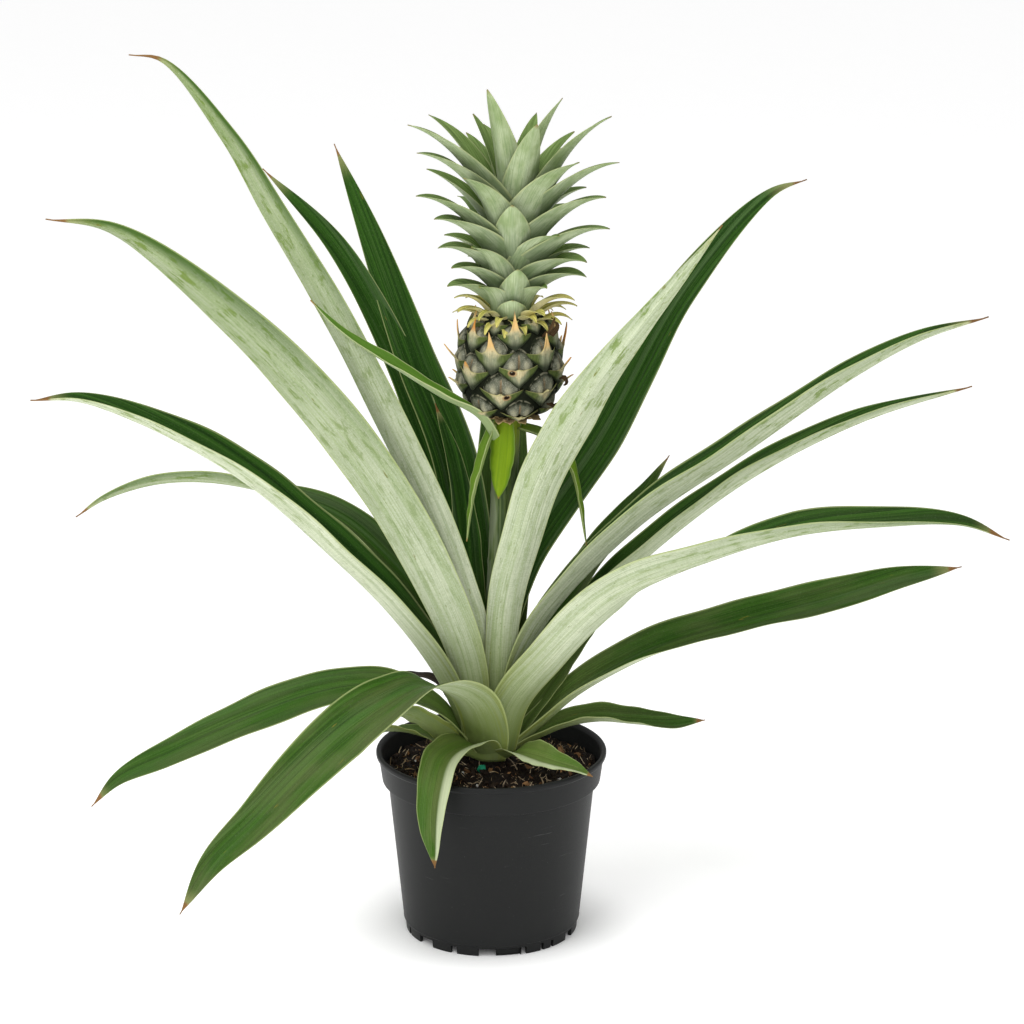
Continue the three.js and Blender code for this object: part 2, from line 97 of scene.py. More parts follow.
class Finish:
    """A material. What is the same all over is set once; what varies is worked out with nodes."""

    def __init__(self, name, shine=0.5, **constants):
        self.material = bpy.data.materials.new(name)
        self.material.use_nodes = True
        self.tree = self.material.node_tree
        self.shader = self.tree.nodes["Principled BSDF"]
        for socket, value in {"Specular_IOR_Level": shine, **constants}.items():
            self.shader.inputs[socket.replace("_", " ")].default_value = value

    def node(self, kind, settings, inputs, output=0):
        """A new shader node, and what comes out of it. Its inputs are values or plain numbers."""
        made = self.tree.nodes.new(kind)
        for name, value in settings.items():
            setattr(made, name, value)
        pairs = inputs.items() if isinstance(inputs, dict) else enumerate(inputs)
        for key, value in pairs:
            if isinstance(value, Value):
                self.tree.links.new(value.socket, made.inputs[key])
            else:
                made.inputs[key].default_value = value
        return Value(self, made.outputs[output])

    def vectors(self, operation, *terms, output=0):
        return self.node("ShaderNodeVectorMath", {"operation": operation}, terms, output)

    def place(self):
        """Where a point is in the part's frame, in metres."""
        return self.node("ShaderNodeTexCoord", {}, {}, "Object")

    def carried(self, *names):
        """What the mesh carries under these names: three numbers for a name in capitals."""
        kind = {True: "Vector", False: "Fac"}
        found = [self.node("ShaderNodeAttribute", {"attribute_name": name}, {}, kind[name.isupper()])
                 for name in names]
        return found if len(found) > 1 else found[0]

    def paint(self, colour, roughness=None, height=None, depth=0.0, glow=None):
        """Links what varies to the shader. Relief of height 1 stands depth metres above height 0."""
        relief = height and self.node("ShaderNodeBump", {}, {"Distance": depth, "Height": height})
        links = {"Base Color": colour, "Roughness": roughness, "Normal": relief, "Emission Color": glow}
        for socket, value in links.items():
            if value:
                self.tree.links.new(value.socket, self.shader.inputs[socket])


def rise(value, low, high):
    """0 where the value is low, 1 where it is high, and a smooth step in between."""
    return value.finish.node("ShaderNodeMapRange", {"interpolation_type": "SMOOTHSTEP"}, [value, low, high])


def noise(place, fineness, detail=2.0, roughness=0.5):
    """Soft random patches. fineness is one number, or three for one in each direction."""
    if isinstance(fineness, tuple):
        place, fineness = place.finish.vectors("MULTIPLY", place, fineness), 1.0
    sockets = {"Vector": place, "Scale": fineness, "Detail": detail, "Roughness": roughness}
    return place.finish.node("ShaderNodeTexNoise", {}, sockets)


def mix(mask, first, second):
    """The first colour where the mask is 0, the second where it is 1."""
    first, second = (c if isinstance(c, Value) else (*c, 1.0) for c in (first, second))
    return mask.finish.node("ShaderNodeMix", {"data_type": "RGBA"}, {0: mask, 6: first, 7: second}, 2)


def coated(colour, *coats):
    """Coats laid over a colour one after another: each is a mask, and the colour where it is 1."""
    for mask, coat in coats:
        colour = mix(mask, colour, coat)
    return colour


def added(name, data):
    """A new object in the scene, at the origin."""
    thing = bpy.data.objects.new(name, data)
    bpy.context.scene.collection.objects.link(thing)
    return thing


scene = bpy.context.scene
scene.view_settings.view_transform = "Standard"
lens = bpy.data.cameras.new("camera")
lens.angle, lens.clip_end = np.radians(FIELD_OF_VIEW), SIGHT
scene.camera = added("camera", lens)
aim(scene.camera, CAMERA_PLACE, CAMERA_TARGET)

for name, place, size, power in LAMPS:
    light = bpy.data.lights.new(name, "AREA")
    light.size, light.energy = size * MM, power
    aim(added(name, light), place, LAMP_TARGET)

world = bpy.data.worlds.new("room")
world.use_nodes = True
sky = world.node_tree.nodes["Background"].inputs
sky["Color"].default_value, sky["Strength"].default_value = (1, 1, 1, 1), SKY_STRENGTH
scene.world = world

corners = [(x * TABLE_HALF, y * TABLE_HALF, 0) for x, y in [(-1, -1), (1, -1), (1, 1), (-1, 1)]]
table_mesh = bpy.data.meshes.new("table")
table_mesh.from_pydata(corners, [], [(0, 1, 2, 3)])
# Painted light: the glowing table lights the plant from below, and dims near the pot as a painted contact
# shadow.
table_finish = Finish("white_table", Roughness=0.9, Emission_Strength=TABLE_GLOW)
speckle = noise(table_finish.place(), 40.0)
offset = table_finish.vectors("SUBTRACT", table_finish.place(), tuple(RIM_CENTRE))
level = table_finish.vectors("MULTIPLY", offset, (1, 1, 0))
from_pot = table_finish.vectors("LENGTH", level, output="Value")
white = mix(speckle, (0.99, 0.99, 0.99), (1, 1, 1))
table_finish.paint(mix(speckle, (0.93, 0.93, 0.93), (0.95, 0.95, 0.95)),
                   glow=mix(rise(from_pot, *CONTACT_SHADE), (0.0, 0.0, 0.0), white))
table_mesh.materials.append(table_finish.material)
added("table", table_mesh)

# ---- pot ----------------------------------------------------------------------------------
# A nursery pot, injection moulded in one piece from black polypropylene: a thin rolled lip, a
# plain collar band, a tapered body, and a foot ring cut by drainage slots.
RIM_RADIUS = 61.2
COLLAR_DEPTH, COLLAR_FOOT_RADIUS = 15.5, 57.9
BODY_TOP_RADIUS, BODY_FOOT_RADIUS = 54.8, 47.2
RIDGE_Z, POT_DEPTH = -93.0, 99.5
WALL = 1.4
FOOT_RING_RADIUS, FOOT_RING_WALL = 46.2, 2.2
SLOT_TOP = -95.5
FLOOR_STEP_RADIUS, FLOOR_STEP_DEPTH = 40.5, 5.0  # the middle of the floor is sunk this far
# degrees from the front and width of each slot; the same again behind
DRAIN_CUTS = [(-70, 2), (-49, 10.4), (-25.5, 3.5), (-2.6, 9.4), (22.2, 3), (36, 1.8), (44.5, 1.8),
              (63.5, 7)]
SET_BACK_FOOT, SET_BACK = (3.2, 20.0), 1.8  # one foot, between these degrees, stands this far in
SLOT_SIDE, RING_PITCH = 0.06, 1.5  # degrees: half of a slot's sloping side, and between ring points


def rounded(outline, radius, steps=4):
    """Each corner of an outline becomes a parabola that starts and ends radius away from it."""
    points = np.array(outline, float)
    before, at, after = points[:-2], points[1:-1], points[2:]

    def towards(other):
        """Each corner moved radius along the side to other, or not quite half of a short side."""
        step = other - at
        length = np.linalg.norm(step, axis=1, keepdims=True)
        return at + step / length * np.minimum(radius, 0.45 * length)

    start, end = towards(before), towards(after)
    s = np.linspace(0, 1, steps)[:, None, None]
    bends = (1 - s) ** 2 * start + 2 * s * (1 - s) * at + s ** 2 * end
    return np.vstack([points[:1], bends.transpose(1, 0, 2).reshape(-1, 2), points[-1:]])


def closed_tube(rings):
    """Rings of points joined side by side, with a fan from the middle of each end ring."""
    rows, columns = rings.shape[:2]
    index = np.arange(rows * columns).reshape(rows, columns)
    a, d = index[:-1], index[1:]
    quads = np.stack([a, np.roll(a, -1, 1), np.roll(d, -1, 1), d], -1).reshape(-1, 4)
    first, last = index[0], index[-1]
    ends = np.full(columns, rows * columns)
    fans = np.vstack([np.stack([ends, np.roll(first, -1), first], -1),
                      np.stack([ends + 1, last, np.roll(last, -1)], -1)])
    points = np.vstack([rings.reshape(-1, 3), rings[0].mean(0), rings[-1].mean(0)])
    return points, quads, fans


def make_piece(name, points, quads, fans, finish, slot, replaces=(), carried=None, sharp=180.0):
    """A mesh with its place in its points; carried holds the values that its finish reads."""
    mesh = bpy.data.meshes.new(name)
    loops = np.concatenate([quads.ravel(), fans.ravel()])
    starts = np.concatenate([np.arange(len(quads)) * 4, len(quads) * 4 + np.arange(len(fans)) * 3])
    mesh.vertices.add(len(points))
    mesh.vertices.foreach_set("co", in_frame(points).ravel())
    mesh.loops.add(len(loops))
    mesh.loops.foreach_set("vertex_index", loops.astype(np.int32))
    mesh.polygons.add(len(starts))
    mesh.polygons.foreach_set("loop_start", starts.astype(np.int32))
    for key, values in (carried or {}).items():
        flat = np.asarray(values, np.float32)
        kind, field = ("FLOAT", "value") if flat.ndim == 1 else ("FLOAT_VECTOR", "vector")
        mesh.attributes.new(key, kind, "POINT").data.foreach_set(field, flat.ravel())
    mesh.update(calc_edges=True)
    mesh.validate()
    mesh.shade_smooth()
    if sharp < 180:
        mesh.set_sharp_from_angle(angle=np.radians(sharp))
    mesh.materials.append(finish.material)
    made = added(name, mesh)
    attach(made, "root")
    if replaces:
        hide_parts(*replaces)
    return made


def pot_rings():
    """The wall's outline carried round the axis. In the foot ring the height runs from the ridge
    down to a depth that depends on the angle: the feet's, or the slots'."""
    ring, foot, top, collar = FOOT_RING_RADIUS, BODY_FOOT_RADIUS, BODY_TOP_RADIUS, COLLAR_FOOT_RADIUS
    lip, step, ridge, band, slot = RIM_RADIUS, FLOOR_STEP_RADIUS, RIDGE_Z, -COLLAR_DEPTH, SLOT_TOP + 0.4
    edges = [np.degrees(s * w / 2 / ring) + c + turn
             for c, w in DRAIN_CUTS for turn in (0, 180) for s in (-1, 1)]
    edges += [edge + turn for edge in SET_BACK_FOOT for turn in (0, 180)]
    steps = np.array([[e - SLOT_SIDE, e + SLOT_SIDE] for e in edges]).ravel() % 360
    angle = np.unique(np.concatenate([np.arange(0, 360, RING_PITCH), steps]))
    off = np.stack([(angle - c + 90) % 180 - 90 for c, w in DRAIN_CUTS])
    half = np.degrees(np.array([w / 2 for c, w in DRAIN_CUTS]) / ring)[:, None]
    depth = np.where((np.abs(off) < half).any(0), SLOT_TOP, -POT_DEPTH)
    folded = (angle + 90) % 180 - 90
    set_back = ((folded > SET_BACK_FOOT[0]) & (folded < SET_BACK_FOOT[1])) * SET_BACK

    inside, sunk = ring - FOOT_RING_WALL, ridge + 1 - FLOOR_STEP_DEPTH
    lower = rounded([
        (1, sunk), (step, sunk), (step, ridge + 1), (inside - 1, ridge + 1), (inside, slot)], 0.6)
    upper = rounded([
        (ring, slot), (ring, ridge - 0.9), (foot, ridge - 0.4), (foot, ridge + 1), (top, band - 1),
        (collar, band), (lip - 1.5, -2.8), (lip - 0.1, -1.8), (lip, 0), (lip - 0.7, LIP_RISE),
        (lip - 2.2, 0.6), (lip - 3.2, -1.2), (collar - WALL, band + 0.6),
        (top - WALL, band - 1.2), (foot - WALL - 1.2, ridge + 3), (step - WALL, ridge + 3),
        (step - WALL, sunk + WALL), (1, sunk + WALL)], 0.5)
    drop = np.array([0.3, 0.94, 1.0, 1.0, 0.94, 0.3])  # down the inside of a foot, across and up
    outer = np.array([0, 0, 0, 1, 1, 1])
    across = np.where(outer, ring, inside) + np.array([0, 0, 0.3, -0.7, -0.4, -0.1])
    radius = np.concatenate([lower[:, 0], across, upper[:, 0]])[:, None] + 0 * angle
    height = np.concatenate([lower[:, 1], 0 * across, upper[:, 1]])[:, None] + 0 * angle
    feet = slice(len(lower), len(lower) + len(across))
    height[feet] = slot + drop[:, None] * (depth - slot)
    radius[feet] -= outer[:, None] * set_back
    turn = np.radians(angle)
    return np.stack([radius * np.sin(turn), -radius * np.cos(turn), height], -1)


pot_finish = Finish("black_polypropylene", shine=0.17)
where = pot_finish.place()
grain = noise(where, 2600.0, 1.0)
haze = noise(where, 22.0, 3.0)
scuffs = noise(where, (60, 60, 900), 3.0, 0.6)
rubbed = rise(scuffs, 0.66, 0.74) * rise(haze, 0.5, 0.62)
dust = rise(noise(where, 900.0, 1.0), 0.76, 0.82)
black = mix(haze, (0.0075, 0.008, 0.008), (0.012, 0.0128, 0.0125))
pot_finish.paint(mix(rubbed * 0.22 + dust * 0.2, black, (0.15, 0.15, 0.15)),
                 0.4 + 0.1 * haze + 0.06 * grain, grain + rubbed * 0.6, 0.00006)
make_piece("nursery_pot", *closed_tube(pot_rings()), pot_finish, "pot_plastic", ["pot"], sharp=40)

# ---- soil ---------------------------------------------------------------------------------
# Moist peat, firmed by hand to about a finger's width below the rim, with bark chips, curled
# fibres, white perlite and one grain of green fertiliser lying on it.
SOIL_TOP, SOIL_MOUND = -10.0, 7.0
SOIL_EDGE = COLLAR_FOOT_RADIUS - WALL - 0.3
SOIL_ROWS, SOIL_COLUMNS = 84, 300
MOUND_SPREAD = 26.0
LUMPS = [(2.2, 6.5, 1), (1.7, 2.6, 2), (1.0, 1.2, 3)]  # height, size and seed
SOIL_BELOW = [  # radius and height of its hidden sides and underside, along the pot's wall
    (1, -95.2), (38.7, -95.2), (38.7, RIDGE_Z + 3.3), (44.2, RIDGE_Z + 3.4), (52.0, -COLLAR_DEPTH - 1.6)]
STREWN_WITHIN = (12.0, 54.0)  # distances from the middle


def circle(count):
    """Angles in radians, once round."""
    return np.linspace(0, 2 * np.pi, count, endpoint=False)


def lumps(x, y, size, seed):
    """Smooth random height: values on a square lattice, blended between its corners."""
    lattice = np.random.default_rng(seed).random((64, 64))
    u, v = x / size + 31.7, y / size + 29.3
    i, j = np.floor(u).astype(int), np.floor(v).astype(int)
    p, q = u - i, v - j
    p, q = p * p * (3 - 2 * p), q * q * (3 - 2 * q)
    at = lambda a, b: lattice[a % 64, b % 64]
    low = at(i, j) * (1 - p) + at(i + 1, j) * p
    high = at(i, j + 1) * (1 - p) + at(i + 1, j + 1) * p
    return low * (1 - q) + high * q - 0.5


def soil_height(x, y):
    """The mound at the stem, with ripples and three sizes of lump."""
    mound = SOIL_TOP + SOIL_MOUND * np.exp(-(x * x + y * y) / MOUND_SPREAD ** 2)
    ripple = 0.8 * np.sin(x * 0.31 + 1) * np.cos(y * 0.27)
    return mound + ripple + sum(height * lumps(x, y, *size_and_seed) for height, *size_and_seed in LUMPS)


turn = circle(SOIL_COLUMNS)
below_radius, below_z = np.array(SOIL_BELOW).T
radius = np.concatenate([below_radius, np.linspace(SOIL_EDGE, 2, SOIL_ROWS)])
ring_x, ring_y = radius[:, None] * np.cos(turn), radius[:, None] * np.sin(turn)
ring_z = soil_height(ring_x, ring_y)
ring_z[:len(below_z)] = below_z[:, None]
soil_finish = Finish("moist_peat", shine=0.25)
where = soil_finish.place()
crumb = noise(where, 420.0, 5.0, 0.7)
fibre = rise(noise(where, (900, 260, 500)), 0.6, 0.72)
peat = coated(mix(crumb, (0.002, 0.0012, 0.0008), (0.02, 0.011, 0.006)),
              (fibre * 0.5, (0.085, 0.045, 0.02)),
              (rise(noise(where, 70.0, 3.0), 0.45, 0.7) * 0.5, (0.006, 0.004, 0.003)))
soil_finish.paint(peat, 0.75 + 0.2 * crumb, crumb + fibre * 0.5, 0.0012)
make_piece("peat", *closed_tube(np.stack([ring_x, ring_y, ring_z], -1)), soil_finish, "peat", ["soil"])


def strewn(name, rings, count, sizes, colours, shine, lift, seed, spot=None, bend=0.0, lump=0.25):
    """Copies of one small closed shape, each turned, stretched and roughened at random, laid on
    the soil or at one spot. rings is the shape about the origin, about 1 mm across; lump is how
    rough a copy is, and bend how far it curls."""
    draw = np.random.default_rng(seed)
    points, quads, fans = closed_tube(rings)
    turned = draw.normal(size=(count, 3, 3)) * np.array([1, 1, 0.35])
    basis = np.linalg.qr(turned)[0]
    basis[:, :, 0] *= np.sign(np.linalg.det(basis))[:, None]
    size = sizes[0] + (sizes[1] - sizes[0]) * draw.random((count, 1, 1)) ** 2
    shape = np.repeat(points[None], count, 0) * (1 + lump * draw.normal(size=(count, len(points), 1)))
    shape[..., 1] += bend * shape[..., 0] ** 2 * draw.uniform(-1, 1, (count, 1))
    spread = np.sqrt(draw.uniform(*np.square(STREWN_WITHIN), count))
    about = draw.uniform(0, 2 * np.pi, count)
    x, y = spread * [np.cos(about), np.sin(about)] if spot is None else np.array(spot)[:, None]
    middle = np.stack([x, y, soil_height(x, y) + lift * size[:, 0, 0]], -1)
    placed = np.einsum("nij,nvj->nvi", basis, shape * size) + middle[:, None]
    step = np.arange(count)[:, None, None] * len(points)
    finish = Finish(name + "_surface", shine)
    tint, fleck = finish.carried("tint"), noise(finish.place(), 1500.0)
    colour = mix(fleck * 0.35, mix(tint, *colours), (0.03, 0.018, 0.01))
    finish.paint(colour, 0.6 + 0.25 * fleck, fleck, 0.0002)
    make_piece(name, placed.reshape(-1, 3), (quads + step).reshape(-1, 4), (fans + step).reshape(-1, 3),
               finish, "peat", carried={"tint": np.repeat(draw.random(count), len(points))}, sharp=50)


def small_tube(length, thick, flat, sides, rows):
    """A straight spindle along x: an ellipse whose size swells from either end."""
    s, a = np.linspace(0, 1, rows), circle(sides)
    swell = (0.25 + 0.75 * np.sin(np.pi * s) ** 0.5)[:, None]
    x = (s[:, None] - 0.5) * length + 0 * a
    return np.stack([x, thick * swell * np.cos(a), flat * thick * swell * np.sin(a)], -1)


# name; length, half thickness, flatness, sides and rows of the spindle; how many; smallest and
# largest copy; darkest and lightest colour; shine; height above the soil as a share of size
LITTER = [
    ("peat_crumbs", (1.2, 0.55, 0.8, 6, 5), 900, (0.7, 3.0),
     ((0.004, 0.0025, 0.0018), (0.03, 0.017, 0.009)), 0.2, 0.15, {}),
    ("bark_chips", (1.6, 0.5, 0.3, 6, 5), 260, (0.8, 3.4),
     ((0.09, 0.038, 0.014), (0.36, 0.19, 0.075)), 0.3, 0.25, {}),
    ("bark_curls", (3.0, 0.16, 0.6, 5, 9), 460, (0.8, 2.8),
     ((0.24, 0.15, 0.07), (0.8, 0.64, 0.44)), 0.3, 0.3, {"bend": 0.45, "lump": 0.05}),
    ("perlite", (1.1, 0.5, 0.85, 6, 5), 34, (0.9, 2.6),
     ((0.7, 0.68, 0.64), (0.9, 0.89, 0.87)), 0.2, 0.3, {}),
    ("fertiliser_grain", (1.1, 0.55, 0.8, 8, 6), 1, (3.4, 3.4),
     ((0.0, 0.3, 0.15), (0.0, 0.36, 0.19)), 0.5, 0.55, {"spot": (-5.0, -19.0)}),
]
LITTER_SEED = 11
for seed, (name, spindle, count, sizes, colours, shine, lift, rest) in enumerate(LITTER, LITTER_SEED):
    strewn(name, small_tube(*spindle), count, sizes, colours, shine, lift, seed, **rest)

# ---- leaves -------------------------------------------------------------------------------
# Strap leaves in a rosette, each one clasping the stem under the next. A blade is a shallow
# channel, thick at the midrib: dark and waxy above, and pale with a grey bloom below.
LEAF_THICKNESS = 1.2
LEAF_TAPER, TIP_HALF_WIDTH = 4.2, 0.9
BLADE_SHARE = 0.99  # the rest of the length is a thin dry spine
LEAF_ROWS, LEAF_COLUMNS = 120, 21
ROUND_OF_FOLD = 0.245  # how blunt the bottom of the channel is, as a share of half the width

# name, width, fold in degrees, roll in degrees, (darkness, grey scurf and painted sheen,
# brown tip, paleness below at the foot and at the tip), route of the midrib
LEAVES = [
    ("leaf_front_hanging", [30, 27, 22, 22, 22], 25, 0, (0.55, 0.3, 0.05, 0.45, 0.45),
     [[-3, -13, 0], [-8, -22, 10], [-15, -32, 13], [-24, -48, 12], [-28, -60, 3], [-30, -65, -14],
      [-29, -66, -41]]),
    ("leaf_front_right_small", [24, 20, 15, 15], [30, 25], [-30, 30, 10], (0.6, 0.3, 0.06, 0.4, 0.6),
     [[5, -12, -1], [14, -20, 5], [23, -27, 6], [34, -36, 5.5], [45, -43, 4.5], [53, -46, 2]]),
    ("leaf_front_left_drooping", [35, 35, 32, 29, 31], 20, [50, 20, -50, -60, -60],
     (0.72, 0.35, 0.03, 0.75, 0.75),
     [[-4, -15, -1], [-4, -20, 16], [-11, -30, 37], [-24, -40, 48], [-37, -50, 52.5], [-50, -60, 49.5],
      [-70.5, -70, 39], [-94.6, -79, 19.4], [-121, -86, -7], [-143, -90, -28.5], [-160, -90, -57]]),
    ("leaf_left_torn", 17, 25, [-20, 0, 45], (0.5, 0.2, 0, 0.5, 0.7),
     [[-12, -2, -1], [-37, 0, 8], [-50, 0, 10.5], [-64, 0, 9.5]]),
    ("leaf_right_short", [19, 20, 23, 24], [55, 50, 22], [8, 12, 28], (0.85, 0.3, 0.05, 0.7, 0.7),
     [[9, 1, -2], [28, 6, 6], [40, 9, 10], [57, 12, 12], [77, 14, 10], [96, 15, 8.5], [114, 14, 11.5]]),
    ("leaf_left_small", 18, 25, 40, (0.45, 0.3, 0.04, 0.4, 0.4),
     [[-12, -8, 0], [-41, -20, 25], [-63, -30, 34]]),
    ("leaf_left_drooping", 27, 22, [0, -30, -40], (0.85, 0.3, 0.04, 1, 1),
     [[-10, -6, 0], [-25, -11, 23], [-42, -17, 36], [-57, -21, 42], [-74, -25, 43], [-98, -29, 38.5],
      [-131, -34, 27], [-168, -39, 11], [-194, -40, -1.5], [-209, -40, -17]]),
    # Near-black from foot to tip: its tip value above 1 lays the darkest tip colour over the whole blade.
    ("leaf_left_withered", 9, 25, 0, (1, 0, 2.4, 0.5, 0.5),
     [[-6, 4, 1], [-30, 24, 30], [-50, 31, 30.5], [-63, 36, 26]]),
    ("leaf_right_low", [28, 28, 29, 32, 37, 44], [55, 38, 24], [4, 25, 35], (0.78, 0.9, 0.03, 1, 1),
     [[10, 0, -2], [26, 4, 11.5], [45, 7, 28], [67, 10, 41], [91, 13, 52], [128, 16, 63.2],
      [180, 19, 76.5], [216, 20, 87.5], [249, 20, 95.5]]),
    ("leaf_right_arched", [33, 33, 36, 41, 42, 41], [25, 30, 42, 46], [-55, -48, 0, 24],
     (0.95, 0.2, 0.04, 0.9, 0.55),
     [[5, -12, 0], [12, -17, 30], [30, -23, 55], [66, -35, 95], [118, -46, 121.9], [158, -50, 135.1],
      [200, -51, 140.2], [240, -51, 140.8], [265, -50, 132.3]]),
    ("leaf_left_folded", 42, [50, 48], [0, -12], (1, 0, 0.035, 0.95, 1),
     [[-12, 0, 3], [-30, -5, 45], [-55, -8, 81], [-86, -11, 114], [-119, -13, 145.6], [-147, -15, 166.2],
      [-181, -17, 185.3], [-212, -19, 197.3], [-236, -20, 198]]),
    ("leaf_left_broad", [20, 24, 28, 32, 34, 34], [22, 22, 30], [65, 65, 45], (0.8, 0.2, 0.03, 0.8, 0.18),
     [[-8, -8, 2], [-12, -16, 52], [-30, -26, 103], [-59, -38, 160.5], [-93.6, -50, 210.4],
      [-147.5, -64, 268.8], [-187, -70, 299], [-219, -73, 305.5]]),
    ("leaf_right_middle_folded", 31, 50, 0, (0.95, 0.2, 0.03, 0.75, 0.8),
     [[10, 4, 3], [31, 7, 47.5], [52, 8, 73], [78, 8, 101], [134, 6, 147.2], [192, 4, 179.4],
      [249, 0, 200]]),
    ("leaf_right_upper_folded", [27, 31, 36, 39, 39, 40], [48, 56], [-10, 4], (0.97, 0.15, 0.03, 0.8, 0.8),
     [[8, 0, 5], [18, -5, 50], [33, -9, 80], [76, -16, 128.5], [131, -20, 170], [187, -22, 211.6],
      [220, -21, 230.2], [254, -20, 242.2]]),
    ("leaf_left_back_arched", 24, [40, 40, 32], [-40, -40, -15, 35, 45], (0.85, 0.8, 0.03, 0.7, 0.45),
     [[-11, 8, 6], [-39, 16, 79], [-58, 20, 102], [-78, 23, 119.3], [-101, 25, 129.8], [-145, 28, 139.5],
      [-176, 30, 138.5], [-204, 30, 130], [-220, 30, 120]]),
    ("leaf_right_pale_upright", [17, 18, 22, 27, 19, 17], 20, -65, (0.8, 0.3, 0.005, 0.7, 0.75),
     [[3, -9, 8], [8, -13, 88], [16, -19, 122], [26, -26, 157], [51.5, -38, 207.5], [75.5, -44, 242.5],
      [98.5, -48, 273.5], [116, -50, 297]]),
    ("leaf_left_tall", [15, 16, 17, 18, 18], 20, [60, 65], (0.7, 0.3, 0.04, 1, 0.05),
     [[-6, -5, 4], [-8, -7, 66], [-16, -11, 97], [-31, -18, 140], [-56.5, -30, 200], [-80, -39, 251],
      [-108.5, -48, 304], [-130, -54, 343.5], [-160.5, -59, 382], [-177, -60, 385]]),
    ("leaf_right_dark_upright", 30, 22, [40, 50, 40], (1, 0.9, 0.02, 0.5, 0.5),
     [[5, 6, 6], [5.6, 9, 55], [18.2, 12, 103.5], [58.5, 16, 167], [101, 18, 246.5], [144, 12, 299],
      [162, 10, 307]]),
    ("leaf_right_back_small", 20, 30, 20, (0.8, 0.4, 0.04, 0.5, 0.5),
     [[9, 7, 2], [39, 20, 42], [68, 38, 82]]),
    ("leaf_right_back_short", 26, 30, 20, (0.7, 0.3, 0.02, 0.5, 0.5),
     [[8, 8, 8], [41, 16, 77], [65, 24, 112], [82, 28, 134], [94, 30, 154]]),
    ("leaf_back_left_narrow", [20, 20, 20, 23], 22, [-40, -50], (1, 0.9, 0.02, 0.5, 0.5),
     [[-8, 9, 12], [-16, 16, 101], [-31.5, 26, 158], [-50, 38, 207], [-81.5, 46, 264], [-119, 50, 304]]),
    ("leaf_back_left_upright", 25, 22, [-50, -60], (1, 0.9, 0.02, 0.5, 0.5),
     [[-5, 11, 14], [-18, 26, 149], [-40, 38, 206], [-63, 52, 268], [-82, 60, 315]]),
    ("leaf_inner_short", 18, 25, [-30, -40], (1, 0.7, 0.03, 0.5, 0.5),
     [[-8, 4, 19], [-13, 6, 104], [-19, 8, 153], [-29, 10, 188]]),
    ("leaf_back_long", 20, 25, 0, (0.8, 0.5, 0.03, 0.5, 0.5),
     [[-1, 13, 19], [0, 30, 114], [4, 70, 174], [9, 150, 194]]),
    ("leaf_back_right_long", 19, 25, 0, (0.8, 0.5, 0.03, 0.5, 0.5),
     [[6, 13, 16], [12, 24, 104], [11, 60, 169], [14, 120, 204]]),
]
BLEACHED = {"leaf_front_hanging": 1, "leaf_front_right_small": -1}  # the side with a faded margin
TORN = {"leaf_left_torn": 0.6}  # how much of its width is left at a torn end


def smooth_route(route, rows, steps=60):
    """The centripetal Catmull-Rom curve through a route's points, cut at equal lengths. Returns
    the points and the whole length."""
    points = np.array(route, float)
    points = np.vstack([2 * points[0] - points[1], points, 2 * points[-1] - points[-2]])
    p0, p1, p2, p3 = points[:-3], points[1:-2], points[2:-1], points[3:]
    d0, d1, d2 = np.linalg.norm(np.diff([p0, p1, p2, p3], axis=0), axis=2, keepdims=True) ** 0.5
    leave = ((p1 - p0) / d0 - (p2 - p0) / (d0 + d1) + (p2 - p1) / d1) * d1
    arrive = ((p2 - p1) / d1 - (p3 - p1) / (d1 + d2) + (p3 - p2) / d2) * d1
    s = np.linspace(0, 1, steps, endpoint=False)[:, None, None]
    line = (p1 * (2 * s ** 3 - 3 * s ** 2 + 1) + leave * (s ** 3 - 2 * s ** 2 + s)
            + p2 * (3 * s ** 2 - 2 * s ** 3) + arrive * (s ** 3 - s ** 2))
    line = np.vstack([line.transpose(1, 0, 2).reshape(-1, 3), p2[-1:]])
    length = np.concatenate([[0], np.cumsum(np.linalg.norm(np.diff(line, axis=0), axis=1))])
    at = np.linspace(0, 1, rows) * length[-1]
    return np.stack([np.interp(at, length, line[:, k]) for k in range(3)], -1), length[-1]


def bunched(columns):
    """Numbers from -1 to 1 that lie closer together at both ends."""
    return np.sin(np.linspace(-np.pi / 2, np.pi / 2, columns))


def unit(vectors):
    """Vectors with the same headings and a length of 1."""
    return vectors / np.linalg.norm(vectors, axis=-1, keepdims=True)


def closed_sheet(front, back):
    """Two grids of points back to back, with a band of faces round the rim."""
    rows, columns = front.shape[:2]
    index = np.arange(rows * columns).reshape(rows, columns)
    face = np.stack([index[:-1, :-1], index[1:, :-1], index[1:, 1:], index[:-1, 1:]], -1).reshape(-1, 4)
    rim = np.concatenate([index[0], index[1:, -1], index[-1, -2::-1], index[-2:0:-1, 0]])
    after, other = np.roll(rim, -1), rows * columns
    band = np.stack([rim, after, after + other, rim + other], -1)
    points = np.vstack([front.reshape(-1, 3), back.reshape(-1, 3)])
    return points, np.vstack([face, face[:, ::-1] + other, band]), np.zeros((0, 3), int)


